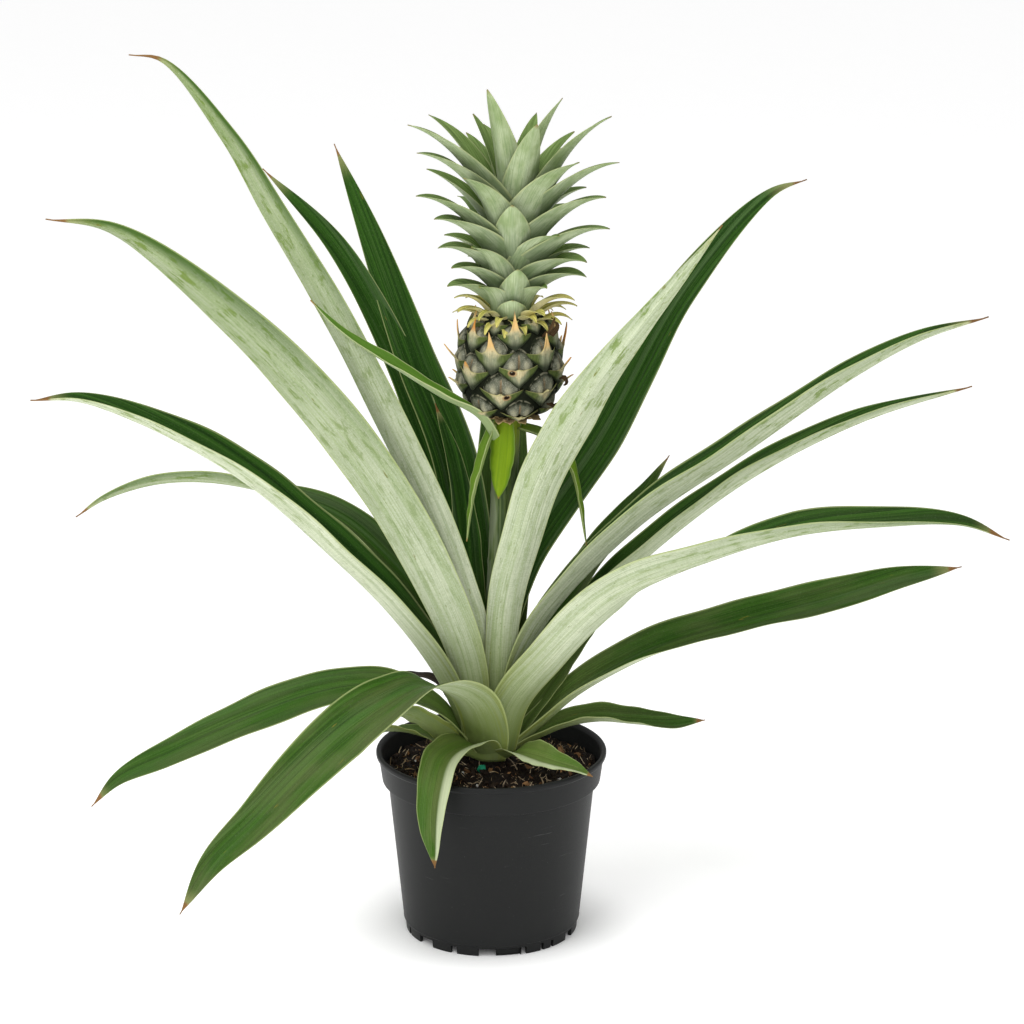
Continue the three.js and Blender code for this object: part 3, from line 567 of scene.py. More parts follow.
def blade(width, fold, roll, route, seed, rows, columns, wave=0.5, torn=0.0):
    """The two faces of a leaf. A level line across the midrib's heading, turned by roll about the
    midrib, carries a rounded V whose halves slope by fold; the margins ripple a little."""
    draw = np.random.default_rng(seed)
    line, length = smooth_route(route, rows)
    t = np.linspace(0, 1, rows)
    tangent = unit(np.gradient(line, axis=0))
    head = np.array(route[-1], float) - np.array(route[0], float)
    level = unit(np.array([-head[1], head[0], 0.0]))
    side = unit(level - (tangent @ level)[:, None] * tangent)
    up = np.cross(tangent, side)
    over = lambda values: np.interp(t, np.linspace(0, 1, np.size(values)), np.atleast_1d(values))
    turn = np.radians(over(roll))[:, None]
    side, up = side * np.cos(turn) + up * np.sin(turn), up * np.cos(turn) - side * np.sin(turn)
    across = bunched(columns)
    spread = 0.6 + 0.4 * np.sin(np.minimum(t / 0.35, 1) * np.pi / 2)
    half = 0.5 * over(width) * spread * (1 - np.minimum(t / BLADE_SHARE, 1) ** LEAF_TAPER * (1 - torn))
    half = (half + TIP_HALF_WIDTH * (1.35 - t))[:, None]
    slope = np.radians(over(fold))[:, None]
    sine = lambda n: np.sin(2 * np.pi * (n * t + draw.random()))[:, None]
    edge_wave = np.where(across < 0, sine(3.3) + 0.6 * sine(7.1), sine(2.7) + 0.6 * sine(6.3))
    lift = half * np.sin(slope) * (np.hypot(across, ROUND_OF_FOLD) - ROUND_OF_FOLD)
    lift = lift + wave * edge_wave * across ** 2 * np.sin(np.pi * t)[:, None]
    thick = LEAF_THICKNESS * (1 - 0.72 * np.abs(across) ** 2.5) * (1 - 0.45 * t)[:, None]
    ragged = torn * 5 * draw.normal(size=columns) * (t[:, None] > 0.97)
    axes = [(half * np.cos(slope) * across, side), (lift, up), (ragged, tangent)]
    middle = line[:, None] + sum(far[..., None] * axis[:, None] for far, axis in axes)
    swell = (0.5 * thick / np.cos(slope * np.abs(across)))[..., None] * up[:, None]
    flat = 0 * half * across
    fibre = np.stack([half * across, length * t[:, None] + flat, seed * 37.0 + flat], -1)
    carried = {"FIBRE": fibre, "across": flat + across, "along": flat + t[:, None]}
    carried["top"] = carried["across"] * -np.sign(head[0])  # 1 along the margin that is higher in front; the finish lays painted shade along it
    carried = {key: np.concatenate([v.reshape(rows * columns, -1)] * 2).squeeze()
               for key, v in carried.items()}
    carried["upper"] = np.repeat([1.0, 0.0], rows * columns)
    return middle + swell, middle - swell, carried


leaf_finish = Finish("leaf_skin", shine=0.1)
fibre, look, across, along, upper, top, pale, bleach = leaf_finish.carried(
    "FIBRE", "LOOK", "across", "along", "upper", "top", "pale", "bleach")
darkness, scurf_and_sheen, tip = (leaf_finish.node("ShaderNodeSeparateXYZ", {}, [look], k) for k in range(3))
length_mm = leaf_finish.node("ShaderNodeSeparateXYZ", {}, [fibre], 1)
outward = abs(across)
base = 1 - rise(length_mm, 12.0, 95.0)
veins = noise(fibre, (2.2, 0.01, 1), 3.0, 0.65)
stripes = noise(fibre, (0.42, 0.004, 1))
clouds = noise(fibre, (0.09, 0.022, 1), 3.0)
mottle = noise(fibre, (0.3, 0.07, 1), 6.0, 0.72)
grit = noise(fibre, (1.3, 0.9, 1), 4.0, 0.7)
hatch = noise(fibre, (0.2, 1.6, 1), 2.0, 0.6)
dashes = noise(fibre, (0.9, 0.25, 1))
bands = noise(fibre, (0.17, 0.003, 1))
bruises = noise(fibre, (0.4, 0.06, 1), 2.0, 0.6)

below = coated(
    mix(pale + 0.5 * (clouds - 0.5), (0.185, 0.25, 0.095), (0.72, 0.77, 0.57)),
    (rise(stripes, 0.44, 0.62) * 0.34, (0.25, 0.36, 0.11)),
    (rise(veins, 0.48, 0.6) * 0.38, (0.17, 0.26, 0.09)),
    (rise(hatch, 0.5, 0.66) * 0.22, (0.26, 0.34, 0.17)),
    (rise(grit, 0.5, 0.68) * (0.08 + 0.36 * pale), (0.78, 0.83, 0.68)),
    (rise(mottle, 0.52, 0.62) * (0.18 + 0.62 * rise(along, 0.25, 0.8)), (0.19, 0.28, 0.05)),
    (rise(mottle, 0.5, 0.6) * (1 - pale) * 0.35, (0.07, 0.13, 0.016)),
    (rise(dashes, 0.68, 0.74) * 0.5, (0.13, 0.18, 0.03)),
    # painted shade: the underside darkens to olive towards the leaf's foot, where the leaves crowd
    (base * (0.74 + 0.45 * clouds), (0.19, 0.25, 0.07)),
    # painted shade: dark green along the underside's higher margin, towards the tip
    (rise(top, 0.15, 0.92) * rise(along, 0.3, 0.95) * (1 - pale) * 1.5, (0.06, 0.125, 0.022)),
    (rise(stripes + 0.55 * outward, 0.88, 1.02) * base * 0.6, (0.24, 0.28, 0.045)))
dark = mix(rise(stripes, 0.35, 0.65), (0.008, 0.038, 0.001), (0.03, 0.098, 0.008))
light = mix(rise(clouds, 0.38, 0.62), (0.068, 0.175, 0.008), (0.2, 0.25, 0.075))
above = coated(
    mix(darkness, light, dark),
    # grey scurf and painted sheen: broad soft pale bands along the upper face
    (rise(bands, 0.5, 0.66) * scurf_and_sheen * 0.55, (0.095, 0.15, 0.065)),
    (rise(veins, 0.5, 0.62) * 0.45, (0.008, 0.03, 0.003)),
    ((1 - rise(veins, 0.36, 0.46)) * 0.4, (0.075, 0.15, 0.035)),
    # painted shade: grey-olive over the upper face's half towards its higher margin, on the lighter leaves
    (rise(top, -0.15, 0.75) * (1 - darkness) * 2.0 * rise(clouds, 0.25, 0.6), (0.09, 0.115, 0.04)),
    (rise(mottle, 0.53, 0.64) * (0.4 - 0.35 * darkness), (0.1, 0.125, 0.045)),
    (rise(grit, 0.54, 0.72) * 0.22, (0.19, 0.26, 0.14)),
    (base * 0.4, (0.19, 0.26, 0.06)),
    (bleach * (0.55 + 0.6 * stripes), (0.56, 0.62, 0.4)))
skin = coated(
    mix(upper, below, above),
    (rise(bruises, 0.71, 0.76) * 0.75, (0.17, 0.16, 0.022)),
    (rise(outward, 0.925, 0.98) * (0.6 - 0.08 * upper), (0.46, 0.53, 0.22)),
    (rise(along, 0.93, 0.985) * 0.5, (0.46, 0.44, 0.19)))
dry = mix(stripes, (0.1, 0.05, 0.018), (0.34, 0.18, 0.06))
# tip values from 0.5 to 1 turn the tip colour from dry brown to near-black
dead = mix(rise(tip, 0.5, 1.0), dry, mix(stripes, (0.006, 0.005, 0.004), (0.05, 0.035, 0.02)))
withered = rise(along + 0.012 * clouds, 0.998 - 0.8 * tip, 1.004 - 0.7 * tip)
leaf_finish.paint(mix(withered, skin, dead), 0.58 - 0.22 * upper + 0.12 * stripes + 0.1 * clouds,
                  veins + 0.6 * stripes + 0.2 * hatch, 0.00045)

for number, (name, width, fold, roll, character, route) in enumerate(LEAVES):
    front, back, carried = blade(width, fold, roll, route, number, LEAF_ROWS, LEAF_COLUMNS,
                                 torn=TORN.get(name, 0.0))
    carried["LOOK"] = np.tile(character[:3], (2 * LEAF_ROWS * LEAF_COLUMNS, 1))
    carried["pale"] = np.interp(carried["along"], (0, 1), character[3:])
    carried["bleach"] = np.clip((carried["across"] * BLEACHED.get(name, 0) - 0.4) / 0.08, 0, 1)
    make_piece(name + "_blade", *closed_sheet(front, back), leaf_finish, "leaf", [name], carried)

# ---- stem ---------------------------------------------------------------------------------
# The short stem that the leaves grow from, planted in the peat and hidden by their bases. Its
# shape is the CAD one, and its skin is pale green with fine ridges round it.
stem_finish = Finish("stem_skin", shine=0.4)
ridges = noise(stem_finish.place(), (300, 300, 900))
stem_finish.paint(mix(ridges, (0.2, 0.26, 0.1), (0.42, 0.46, 0.26)), 0.5 + 0.2 * ridges, ridges, 0.0004)
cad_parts["stem"].data.materials.clear()
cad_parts["stem"].data.materials.append(stem_finish.material)

# ---- fruit stalk --------------------------------------------------------------------------
# A round fleshy stalk from the stem to the fruit, dull green with a grey scurf that wears off in
# patches, and brighter just under the fruit. It grows through the middle of the rosette.
STEM_HEAD = 9.0
STALK_ROUTE = [[-1, -1, STEM_HEAD + 0.3], [3, 0, 70], [6, 0, 130], [8.6, 0, 184.4]]
STALK_RADIUS = 7.2
STALK_JOINTS = [0.3, 0.55, 0.76]  # shares of its length
STALK_ROWS, STALK_SIDES = 120, 40

line = smooth_route(STALK_ROUTE, STALK_ROWS)[0]
t = np.linspace(0, 1, STALK_ROWS)[:, None]
turn = circle(STALK_SIDES)
ribs = 0.18 * np.cos(9 * turn + 1) + 0.1 * np.cos(5 * turn)
joints = 0.35 * np.exp(-((t - np.array(STALK_JOINTS)) / 0.008) ** 2).sum(1, keepdims=True)
radius = STALK_RADIUS * (0.9 + 0.1 * t) + ribs + joints - 0.3
rings = line[:, None] + radius[..., None] * np.stack([np.cos(turn), np.sin(turn), 0 * turn], -1)
stalk_finish = Finish("stalk_skin", shine=0.25)
where, share = stalk_finish.place(), stalk_finish.carried("height_share")
lines = noise(where, (900, 900, 18), 3.0)
patches = noise(where, (120, 120, 22), 3.0)
green = coated(
    mix(rise(lines, 0.4, 0.6), (0.045, 0.085, 0.018), (0.11, 0.16, 0.045)),
    (rise(patches, 0.46, 0.58) * 0.6, (0.24, 0.27, 0.18)),
    (rise(share, 0.84, 0.96) * 0.9, mix(lines, (0.18, 0.28, 0.008), (0.4, 0.5, 0.03))))
stalk_finish.paint(green, 0.45 + 0.2 * patches, lines, 0.0003)
make_piece("stalk", *closed_tube(rings), stalk_finish, "stalk", ["fruit_stalk"],
           {"height_share": np.concatenate([np.repeat(t[:, 0], STALK_SIDES), [0, 1]])})

# ---- stalk leaves -------------------------------------------------------------------------
# Four narrow leaves that grow from the stalk just under the fruit, brighter and softer than the
# rest: a long one to the left, one hanging in front, and one curling down on either side.

# name, width, fold and roll in degrees, how fresh it looks, route of the midrib
STALK_LEAVES = [
    ("bract_long_left", 11, [45, 40], [10, -30, -35], 0.08,
     [[2, -5, 172], [-7, -14, 188], [-26, -22, 201], [-46, -30, 216.5], [-76, -44, 241], [-90, -52, 259]]),
    ("bract_front", 16.5, 12, 0, 1, [[8, -8, 183], [7, -10.5, 168], [4, -12, 143]]),
    ("bract_left_hanging", [11, 11, 9, 8], [35, 30], [15, 30], 0.42,
     [[2.5, -5, 181], [-3, -9, 165], [-8.5, -13, 145], [-12.5, -16, 121]]),
    ("bract_right_curled", [16, 13, 9, 8], 25, 0, 0.6,
     [[15, -2, 178], [27, -5, 174], [40, -6, 160], [50, -8, 116]]),
]
STALK_LEAF_GRID, STALK_LEAF_SEED = (60, 13), 60
bract_finish = Finish("stalk_leaf_skin", shine=0.22)
fibre, across, along, upper, fresh = bract_finish.carried("FIBRE", "across", "along", "upper", "fresh")
outward = abs(across)
veins = noise(fibre, (2.4, 0.03, 1), 3.0, 0.6)
stripes = noise(fibre, (0.6, 0.02, 1))
above = mix(fresh * 0.9, mix(stripes, (0.045, 0.14, 0.01), (0.13, 0.27, 0.03)),
            mix(stripes, (0.115, 0.23, 0.002), (0.29, 0.41, 0.01)))
below = mix(fresh * 0.7, mix(stripes, (0.22, 0.32, 0.12), (0.4, 0.48, 0.26)), (0.4, 0.52, 0.06))
skin = coated(
    mix(upper, below, above),
    (rise(veins, 0.5, 0.8) * 0.3, (0.06, 0.14, 0.01)),
    (rise(outward, 0.55, 0.95) * fresh * 0.6, (0.05, 0.13, 0.004)),
    (rise(outward, 0.9, 0.98) * (0.7 - 0.6 * fresh), (0.62, 0.66, 0.34)),
    (rise(along, 0.95, 1.0), (0.3, 0.17, 0.05)))
bract_finish.paint(skin, 0.42 + 0.2 * stripes, veins, 0.0003)
for seed, (name, width, fold, roll, freshness, route) in enumerate(STALK_LEAVES, STALK_LEAF_SEED):
    front, back, carried = blade(width, fold, roll, route, seed, *STALK_LEAF_GRID, wave=0.3)
    carried["fresh"] = np.full(len(carried["upper"]), freshness)
    make_piece(name + "_blade", *closed_sheet(front, back), bract_finish, "bract", [name], carried)

# ---- fruit --------------------------------------------------------------------------------
# A young fruit grown from three dozen flowers. Each leaves one eye: a grey two-lobed dome, and
# under it a green leaf-like scale, cream at its middle, that ends in a dry upright spike.
FRUIT_CENTRE = np.array([9.7, 0.0, 212.0])
CORE_RADIUS, CORE_RISE, CORE_FALL = 25.9, 29.0, 26.2
CORE_ROWS, CORE_SIDES = 175, 96
DOME_WIDTH, DOME_RISE, DOME_FALL, DOME_HEIGHT = 9.2, 10.4, 3.0, 3.4  # a width is from the middle to one side
SCALE_WIDTH, SCALE_FALL, SPIKE_DRY_HEIGHT = 11.2, 9.6, 9.5
FRUIT_SEED = 21
# degrees from the front, mm above the middle, size, length of the spike, its sideways curve and
# its slope outwards, and the side on which an insect has bored the scale
EYES = [
    (7, 20.2, 0.86, 11.5, 0.3, 0.1, 0), (-50, 18.6, 0.84, 8.5, -0.2, 0.1, 0),
    (72, 17.5, 0.9, 10.5, 0.2, 0.1, 0), (-66, 24, 0.7, 6, -0.4, 0.2, 0), (40, 24.5, 0.66, 3, 0, 0.2, 0),
    (-22, 24.5, 0.62, 3, 0, 0.2, 0), (-20, 11.4, 1.02, 9.8, -2.4, 0.1, 0),
    (43, 10.8, 0.98, 9.5, 0.4, 0.1, 0), (-90, 14, 0.86, 9, 0, 0.1, 0), (-76, 5, 0.94, 7, 0, 0.75, 0),
    (97, 8.5, 0.92, 11.5, 0, 0.1, 0), (-47, 1.5, 1.04, 5.5, 0, 0.1, 0), (10, 4.6, 1.08, 0.6, 0, 0, -1),
    (71, 0.5, 1, 6, 0.8, 0.4, 0), (-10, -7.8, 1.08, 0.8, 0, 0, 1), (42, -8.2, 1.02, 1.8, 0.4, 0.2, 0),
    (-77, -7, 0.95, 3.5, 0, 0.8, 0), (93, -8, 0.92, 4, 0, 1, 0), (16, -20.4, 0.96, 0.4, 0, 0.2, 0),
    (-42, -18.6, 0.92, 0.5, 0, 0.3, 0), (70, -19, 0.9, 4.5, 0, 0.9, 0), (-95, -18, 0.86, 3, 0, 0.8, 0),
    (104, 22.5, 0.72, 6, 0, 0.2, 0), (-106, 24, 0.66, 6, 0, 0.2, 0), (142, 22.5, 0.74, 8, 0, 0.1, 0),
    (-166, 22, 0.8, 9, 0, 0.1, 0), (150, 11.5, 0.97, 9, 0.3, 0.1, 0), (-150, 11, 1, 8, -0.3, 0.1, 0),
    (124, 1.5, 1.02, 8, 0, 0.3, 0), (-178, 2, 1.06, 6, 0.4, 0.1, 0), (-123, 2, 1.02, 7, 0, 0.3, 0),
    (147, -8.5, 1.02, 5, 0, 0.3, 0), (-158, -8.5, 1.04, 2, 0, 0.2, 0), (-113, -8, 0.9, 4, 0, 0.6, 0),
    (118, -18.5, 0.9, 3, 0, 0.6, 0), (175, -19, 0.94, 2, 0, 0.4, 0), (-137, -18.8, 0.92, 3, 0, 0.6, 0)]

latitude = np.radians(np.linspace(-87, 87, CORE_ROWS))
core_radius = CORE_RADIUS * np.cos(latitude) ** 0.58
core_height = np.where(latitude > 0, CORE_RISE, CORE_FALL) * np.sin(latitude)
core_length = np.concatenate([[0], np.cumsum(np.hypot(np.diff(core_radius), np.diff(core_height)))])
slope = unit(np.stack([np.gradient(core_height), -np.gradient(core_radius)], -1))


def on_fruit(azimuth, length, height):
    """The point at an azimuth in radians from the front and a length up the barrel's outline,
    raised by height along the outward normal."""
    outline = (core_radius, core_height, slope[:, 0], slope[:, 1])
    r, z, out_r, out_z = (np.interp(length, core_length, column) for column in outline)
    r = r + height * out_r
    return FRUIT_CENTRE + np.stack([r * np.sin(azimuth), -r * np.cos(azimuth), z + height * out_z], -1)


turn = circle(CORE_SIDES)
rings = on_fruit(turn + 0 * core_length[::3, None], core_length[::3, None] + 0 * turn, 0.0)
# painted shade: the core shows only in the crevices between the eyes, and is near-black there
crevice_shade_finish = Finish("fruit_crevice_shade", shine=0.1)
crevice_mottle = noise(crevice_shade_finish.place(), 500.0, 3.0)
crevice_shade_finish.paint(mix(crevice_mottle, (0.002, 0.003, 0.0015), (0.014, 0.018, 0.008)),
                   0.7 + 0.2 * crevice_mottle, crevice_mottle, 0.0006)
make_piece("fruit_core", *closed_tube(rings), crevice_shade_finish, "fruit", ["fruit"])

eye_azimuth, eye_height, eye_size, spike, spike_curve, spike_flare, bored = (
    np.array(column, float).reshape(-1, 1, 1) for column in zip(*EYES))
eye_azimuth = np.radians(eye_azimuth)
eye_length = np.interp(eye_height, core_height, core_length)
eye_girth = np.interp(eye_height, core_height, core_radius) + 1.5


def on_eyes(x, y, height):
    """Carries a shape drawn flat, x across and y up, onto every eye at once."""
    return on_fruit(eye_azimuth + x * eye_size / eye_girth, eye_length + y * eye_size, height * eye_size)


def many_sheets(front, back):
    """The same sheet's faces for every copy in a stack of point grids."""
    points, quads, fans = closed_sheet(front[0], back[0])
    step = np.arange(len(front))[:, None, None] * len(points)
    both = np.concatenate([front.reshape(len(front), -1, 3), back.reshape(len(back), -1, 3)], 1)
    return both.reshape(-1, 3), (quads + step).reshape(-1, 4), fans


def both_faces(values, shape):
    """Values spread over a stack of point grids, for the front grid and the back one of each."""
    grids = np.broadcast_to(values, shape).reshape(shape[0], -1)
    return np.concatenate([grids, grids], 1).ravel()


draw = np.random.default_rng(FRUIT_SEED)
count = len(EYES)
v, u = np.meshgrid(np.linspace(-0.985, 0.985, 21), bunched(31), indexing="ij")
u = np.sign(u) * np.abs(u) ** 1.25
reach = np.where(v > 0, (1 - np.abs(v) ** 1.9) ** 0.66, (1 - np.abs(v) ** 2.6) ** 0.5)
uneven = draw.normal(size=(5, count, 1, 1))
x, y = DOME_WIDTH * u * reach * (1 + 0.05 * uneven[0]), np.where(v > 0, DOME_RISE, DOME_FALL) * v
x, y = x + 0.05 * uneven[1] * y, y * (1 + 0.06 * uneven[2])
crest = ((1 - u ** 2) * (1 - np.abs(v) ** 2.4)).clip(0) ** 0.4 + 0 * x
low = np.exp(-((y - 0.5) / 4.6) ** 2)  # the lobes swell low on the dome; its top is drawn flatter
cleft_at = 0.35 * uneven[3] + 0.09 * uneven[4] * y
cleft = np.exp(-((x - cleft_at) / 0.5) ** 2) * (y < 7)
lobes = np.exp(-((np.abs(x - cleft_at) - 3.5) / 2.4) ** 2) * low
rim = np.exp(-((crest - 0.42) / 0.1) ** 2)
swollen = DOME_HEIGHT * (0.55 + 0.22 * low) + 1.25 * lobes - 1.3 * cleft * (0.3 + low)
height = -1.0 + crest * swollen + 0.25 * rim
front, back = on_eyes(x, y, height), on_eyes(x * 0.9, y * 0.9, np.minimum(height - 0.8, -0.6))
dome_finish = Finish("eye_domes", shine=0.1)
bloom, groove, lobe = dome_finish.carried("bloom", "groove", "lobe")
where = dome_finish.place()
grit, wash = noise(where, 1500.0, 3.0, 0.65), noise(where, 260.0, 3.0, 0.6)
uneven_wash = wash - 0.5
grey = coated(
    mix(wash, (0.036, 0.046, 0.026), (0.26, 0.265, 0.19)),
    # the lobes' paler grey-beige, with a painted highlight where they swell
    (rise(lobe + 0.4 * uneven_wash, 0.4, 0.95) * 0.65, (0.42, 0.4, 0.27)),
    (rise(grit, 0.52, 0.7) * 0.45, (0.55, 0.52, 0.43)),
    (rise(grit, 0.42, 0.26) * 0.65, (0.02, 0.022, 0.012)))
dark = mix(grit, (0.0015, 0.0025, 0.001), (0.022, 0.028, 0.012))
halo = rise(bloom, 0.34, 0.4) * rise(bloom, 0.5, 0.43) * rise(wash, 0.44, 0.56)
# painted light and shade: the grey dome turns near-black towards its rim and is lightest over its middle and
# lower part
tone = coated(
    mix(rise(bloom + 0.35 * uneven_wash, 0.46, 0.72), dark, grey),
    (halo * 0.7, (0.26, 0.25, 0.17)),
    (groove, mix(grit, (0.2, 0.11, 0.045), (0.47, 0.33, 0.17))))
dome_finish.paint(tone, 0.5 + 0.3 * grit, grit + wash, 0.0006)
carried = {"bloom": crest * (0.62 + 0.38 * low), "lobe": lobes,
           "groove": np.exp(-((x - cleft_at) / 0.3) ** 2) * (y < 5.5) * crest}
carried = {key: both_faces(values, y.shape) for key, values in carried.items()}
make_piece("fruit_eyes", *many_sheets(front, back), dome_finish, "fruit", carried=carried)

v, u = np.meshgrid(np.linspace(0, 1, 17), np.linspace(-1, 1, 49), indexing="ij")
x = SCALE_WIDTH * np.sign(u) * np.abs(u) ** 1.6
aside = np.abs(x) / SCALE_WIDTH
uneven = draw.normal(size=(4, count, 1, 1))
low = -SCALE_FALL * (1 + 0.07 * uneven[0]) * (1 - aside) ** 0.92 - 0.15
top = -0.8 + 1.9 * aside ** 1.6 + spike * np.exp(-(np.abs(x) / (1.05 + 0.08 * spike)) ** 1.15)
y = low + (top - low) * v
above = (y + 0.5).clip(0)
height = 0.4 + 3.4 * (1 - aside ** 1.4) * (0.22 + 0.78 * v ** 0.8)
height = height + (0.22 + spike_flare) * above + 0.01 * above ** 2
height = height + 0.22 * np.sin(1.9 * x + 2 * uneven[1]) * (1 - aside) + 0.35 * np.exp(-(x / 0.7) ** 2) * v
hole = np.hypot(x - 3.1 * bored, 1.25 * (y + 1.9)) + 9 * (bored == 0)
height = height - 1.1 * np.exp(-(hole / 1.15) ** 4) + 0.35 * np.exp(-((hole - 1.7) / 0.5) ** 2)
side_way = x + spike_curve * (above / spike.clip(1)) ** 1.6 + 0.12 * uneven[2] * above
side_way = side_way + 0.5 * uneven[3] * (1 - aside) * (1 - v)
thin = (0.45 + 1.0 * np.exp(-(x / 1.2) ** 2)) * (1 - 0.6 * np.clip(above / 10, 0, 1))
front, back = on_eyes(side_way, y, height), on_eyes(side_way, y, height - thin)
scale_finish = Finish("eye_scales", shine=0.15)
wing, edge, dry, age, bore, flat = scale_finish.carried("wing", "edge", "dry", "age", "bore", "FLAT")
hairs = noise(flat, (2.2, 0.22, 1), 4.0, 0.7)
uneven_wash = noise(flat, (0.5, 0.25, 1), 3.0, 0.6) - 0.5
specks = noise(scale_finish.place(), 1300.0, 3.0, 0.7)
green = mix(hairs, (0.012, 0.026, 0.004), (0.165, 0.215, 0.055))
grey = mix(hairs, (0.06, 0.085, 0.035), (0.48, 0.49, 0.32))
cream = mix(hairs, (0.36, 0.29, 0.12), (0.9, 0.8, 0.5))
tone = coated(
    mix(rise(wing + 0.35 * uneven_wash, 0.1, 0.5), grey, green),
    (rise(edge - 1.2 * wing + 0.7 * uneven_wash, 0.3, 0.72) * 0.9, cream),
    # painted shade: near-black along the scale's lower edge, a dark outline in the crevice
    (rise(edge, 0.46, 0.08) * 0.92, (0.008, 0.014, 0.005)),
    (rise(specks, 0.6, 0.7) * 0.5, (0.018, 0.022, 0.008)),
    (rise(edge, 0.9, 0.99) * 0.55, (0.42, 0.4, 0.16)),
    # painted shade: near-black at the outer ends of the wings, part of the dark outline round the scale
    (rise(wing, 0.86, 1.0) * 0.8, (0.012, 0.016, 0.006)),
    (rise(dry, 0.1, 0.5), mix(age, (0.78, 0.54, 0.22), (0.62, 0.25, 0.045))),
    (rise(dry, 0.93, 1.05) * 0.8, (0.3, 0.2, 0.1)),
    (rise(bore, 2.5, 1.6) * 0.8, (0.42, 0.26, 0.12)),
    (rise(bore, 1.5, 1.1), (0.022, 0.01, 0.004)))
scale_finish.paint(tone, 0.5 + 0.25 * hairs, hairs + 0.5 * specks, 0.0006)
carried = {"wing": aside, "edge": v, "dry": above / SPIKE_DRY_HEIGHT, "bore": hole,
           "age": draw.random((count, 1, 1))}
carried = {key: both_faces(values, y.shape) for key, values in carried.items()}
apart = 7.0 * np.arange(count).reshape(-1, 1, 1)  # so that no two scales have the same streaks
carried["FLAT"] = np.stack([both_faces(values, y.shape) for values in (x, y, apart)], -1)
make_piece("fruit_scales", *many_sheets(front, back), scale_finish, "fruit", carried=carried)

# Dry scraps of old flowers at the fruit's side, and papery flakes round its foot.
SCRAPS = [
    (1.6, [[34, -8, 206], [37.5, -9, 207], [39, -9, 204.5], [37.5, -9, 203]]),
    (1.7, [[27, -17, 231], [31, -18, 235], [33, -17, 241]]),
    (1.4, [[31, -14, 231], [34, -14, 236], [31, -13, 240]]),
    (1.4, [[29, -12, 194], [33, -13, 193], [36, -13, 195.5]])]
SCRAP_GRID, SCRAP_SEED = (12, 5), 700
scrap_finish = Finish("dry_scraps", shine=0.15)
strands = noise(scrap_finish.carried("FIBRE"), (2.0, 0.2, 1), 3.0)
scrap_finish.paint(mix(strands, (0.006, 0.004, 0.002), (0.13, 0.075, 0.03)), 0.6 + 0.2 * strands)
for number, (width, route) in enumerate(SCRAPS):
    front, back, carried = blade(width, 30, [0, 60], route, SCRAP_SEED + number, *SCRAP_GRID, wave=0.2)
    make_piece(f"dry_scrap_{number + 1}", *closed_sheet(front, back), scrap_finish, "fruit",
               carried=carried)
FLAKES, FLAKE_WIDTH, FLAKE_GRID, FLAKE_SEED = 14, 6.5, (10, 7), 800
FLAKE_ROOT = np.array([FRUIT_CENTRE[0], 0, 184.2])
flake_finish = Finish("papery_flakes", shine=0.15)
fibre, along = flake_finish.carried("FIBRE", "along")
strands = noise(fibre, (1.6, 0.2, 1), 3.0)
tan = mix(strands, (0.26, 0.17, 0.06), (0.62, 0.47, 0.24))
flake_finish.paint(mix(rise(along, 0.0, 0.35), (0.3, 0.36, 0.09), tan), 0.6 + 0.2 * strands)
for number in range(FLAKES):
    heading = 2 * np.pi * (number + 0.3 * draw.random()) / FLAKES
    outward = np.array([np.sin(heading), -np.cos(heading), 0.0])
    reach, sag = 11.5 + 4 * draw.random(), 2.0 * draw.random()
    climb = lambda t: np.array([0, 0, 2.0 * t - sag * t ** 2])
    route = [FLAKE_ROOT + climb(t) + outward * (6 + (reach - 2) * t) for t in (0, 0.4, 0.75, 1)]
    seed = FLAKE_SEED + number
    front, back, carried = blade(FLAKE_WIDTH, 20, [0, 10], route, seed, *FLAKE_GRID, wave=0.8)
    make_piece(f"papery_flake_{number + 1:02d}", *closed_sheet(front, back), flake_finish, "fruit",
               carried=carried)

# ---- crown --------------------------------------------------------------------------------
# The leafy shoot on top of the fruit: short stiff leaves set all round a hidden core, each a
# pointed shield that rises, arches out and curls at its tip, with a grey waxy bloom.
CROWN_BASE = np.array([10.4, 0.0, 239.6])
CROWN_LEAN = 2.0  # degrees, to the right
CROWN_ROWS, CROWN_COLUMNS = 30, 15
WRAP_GAP = 2.5  # a leaf is bent round the crown's axis with this much more than its distance from it
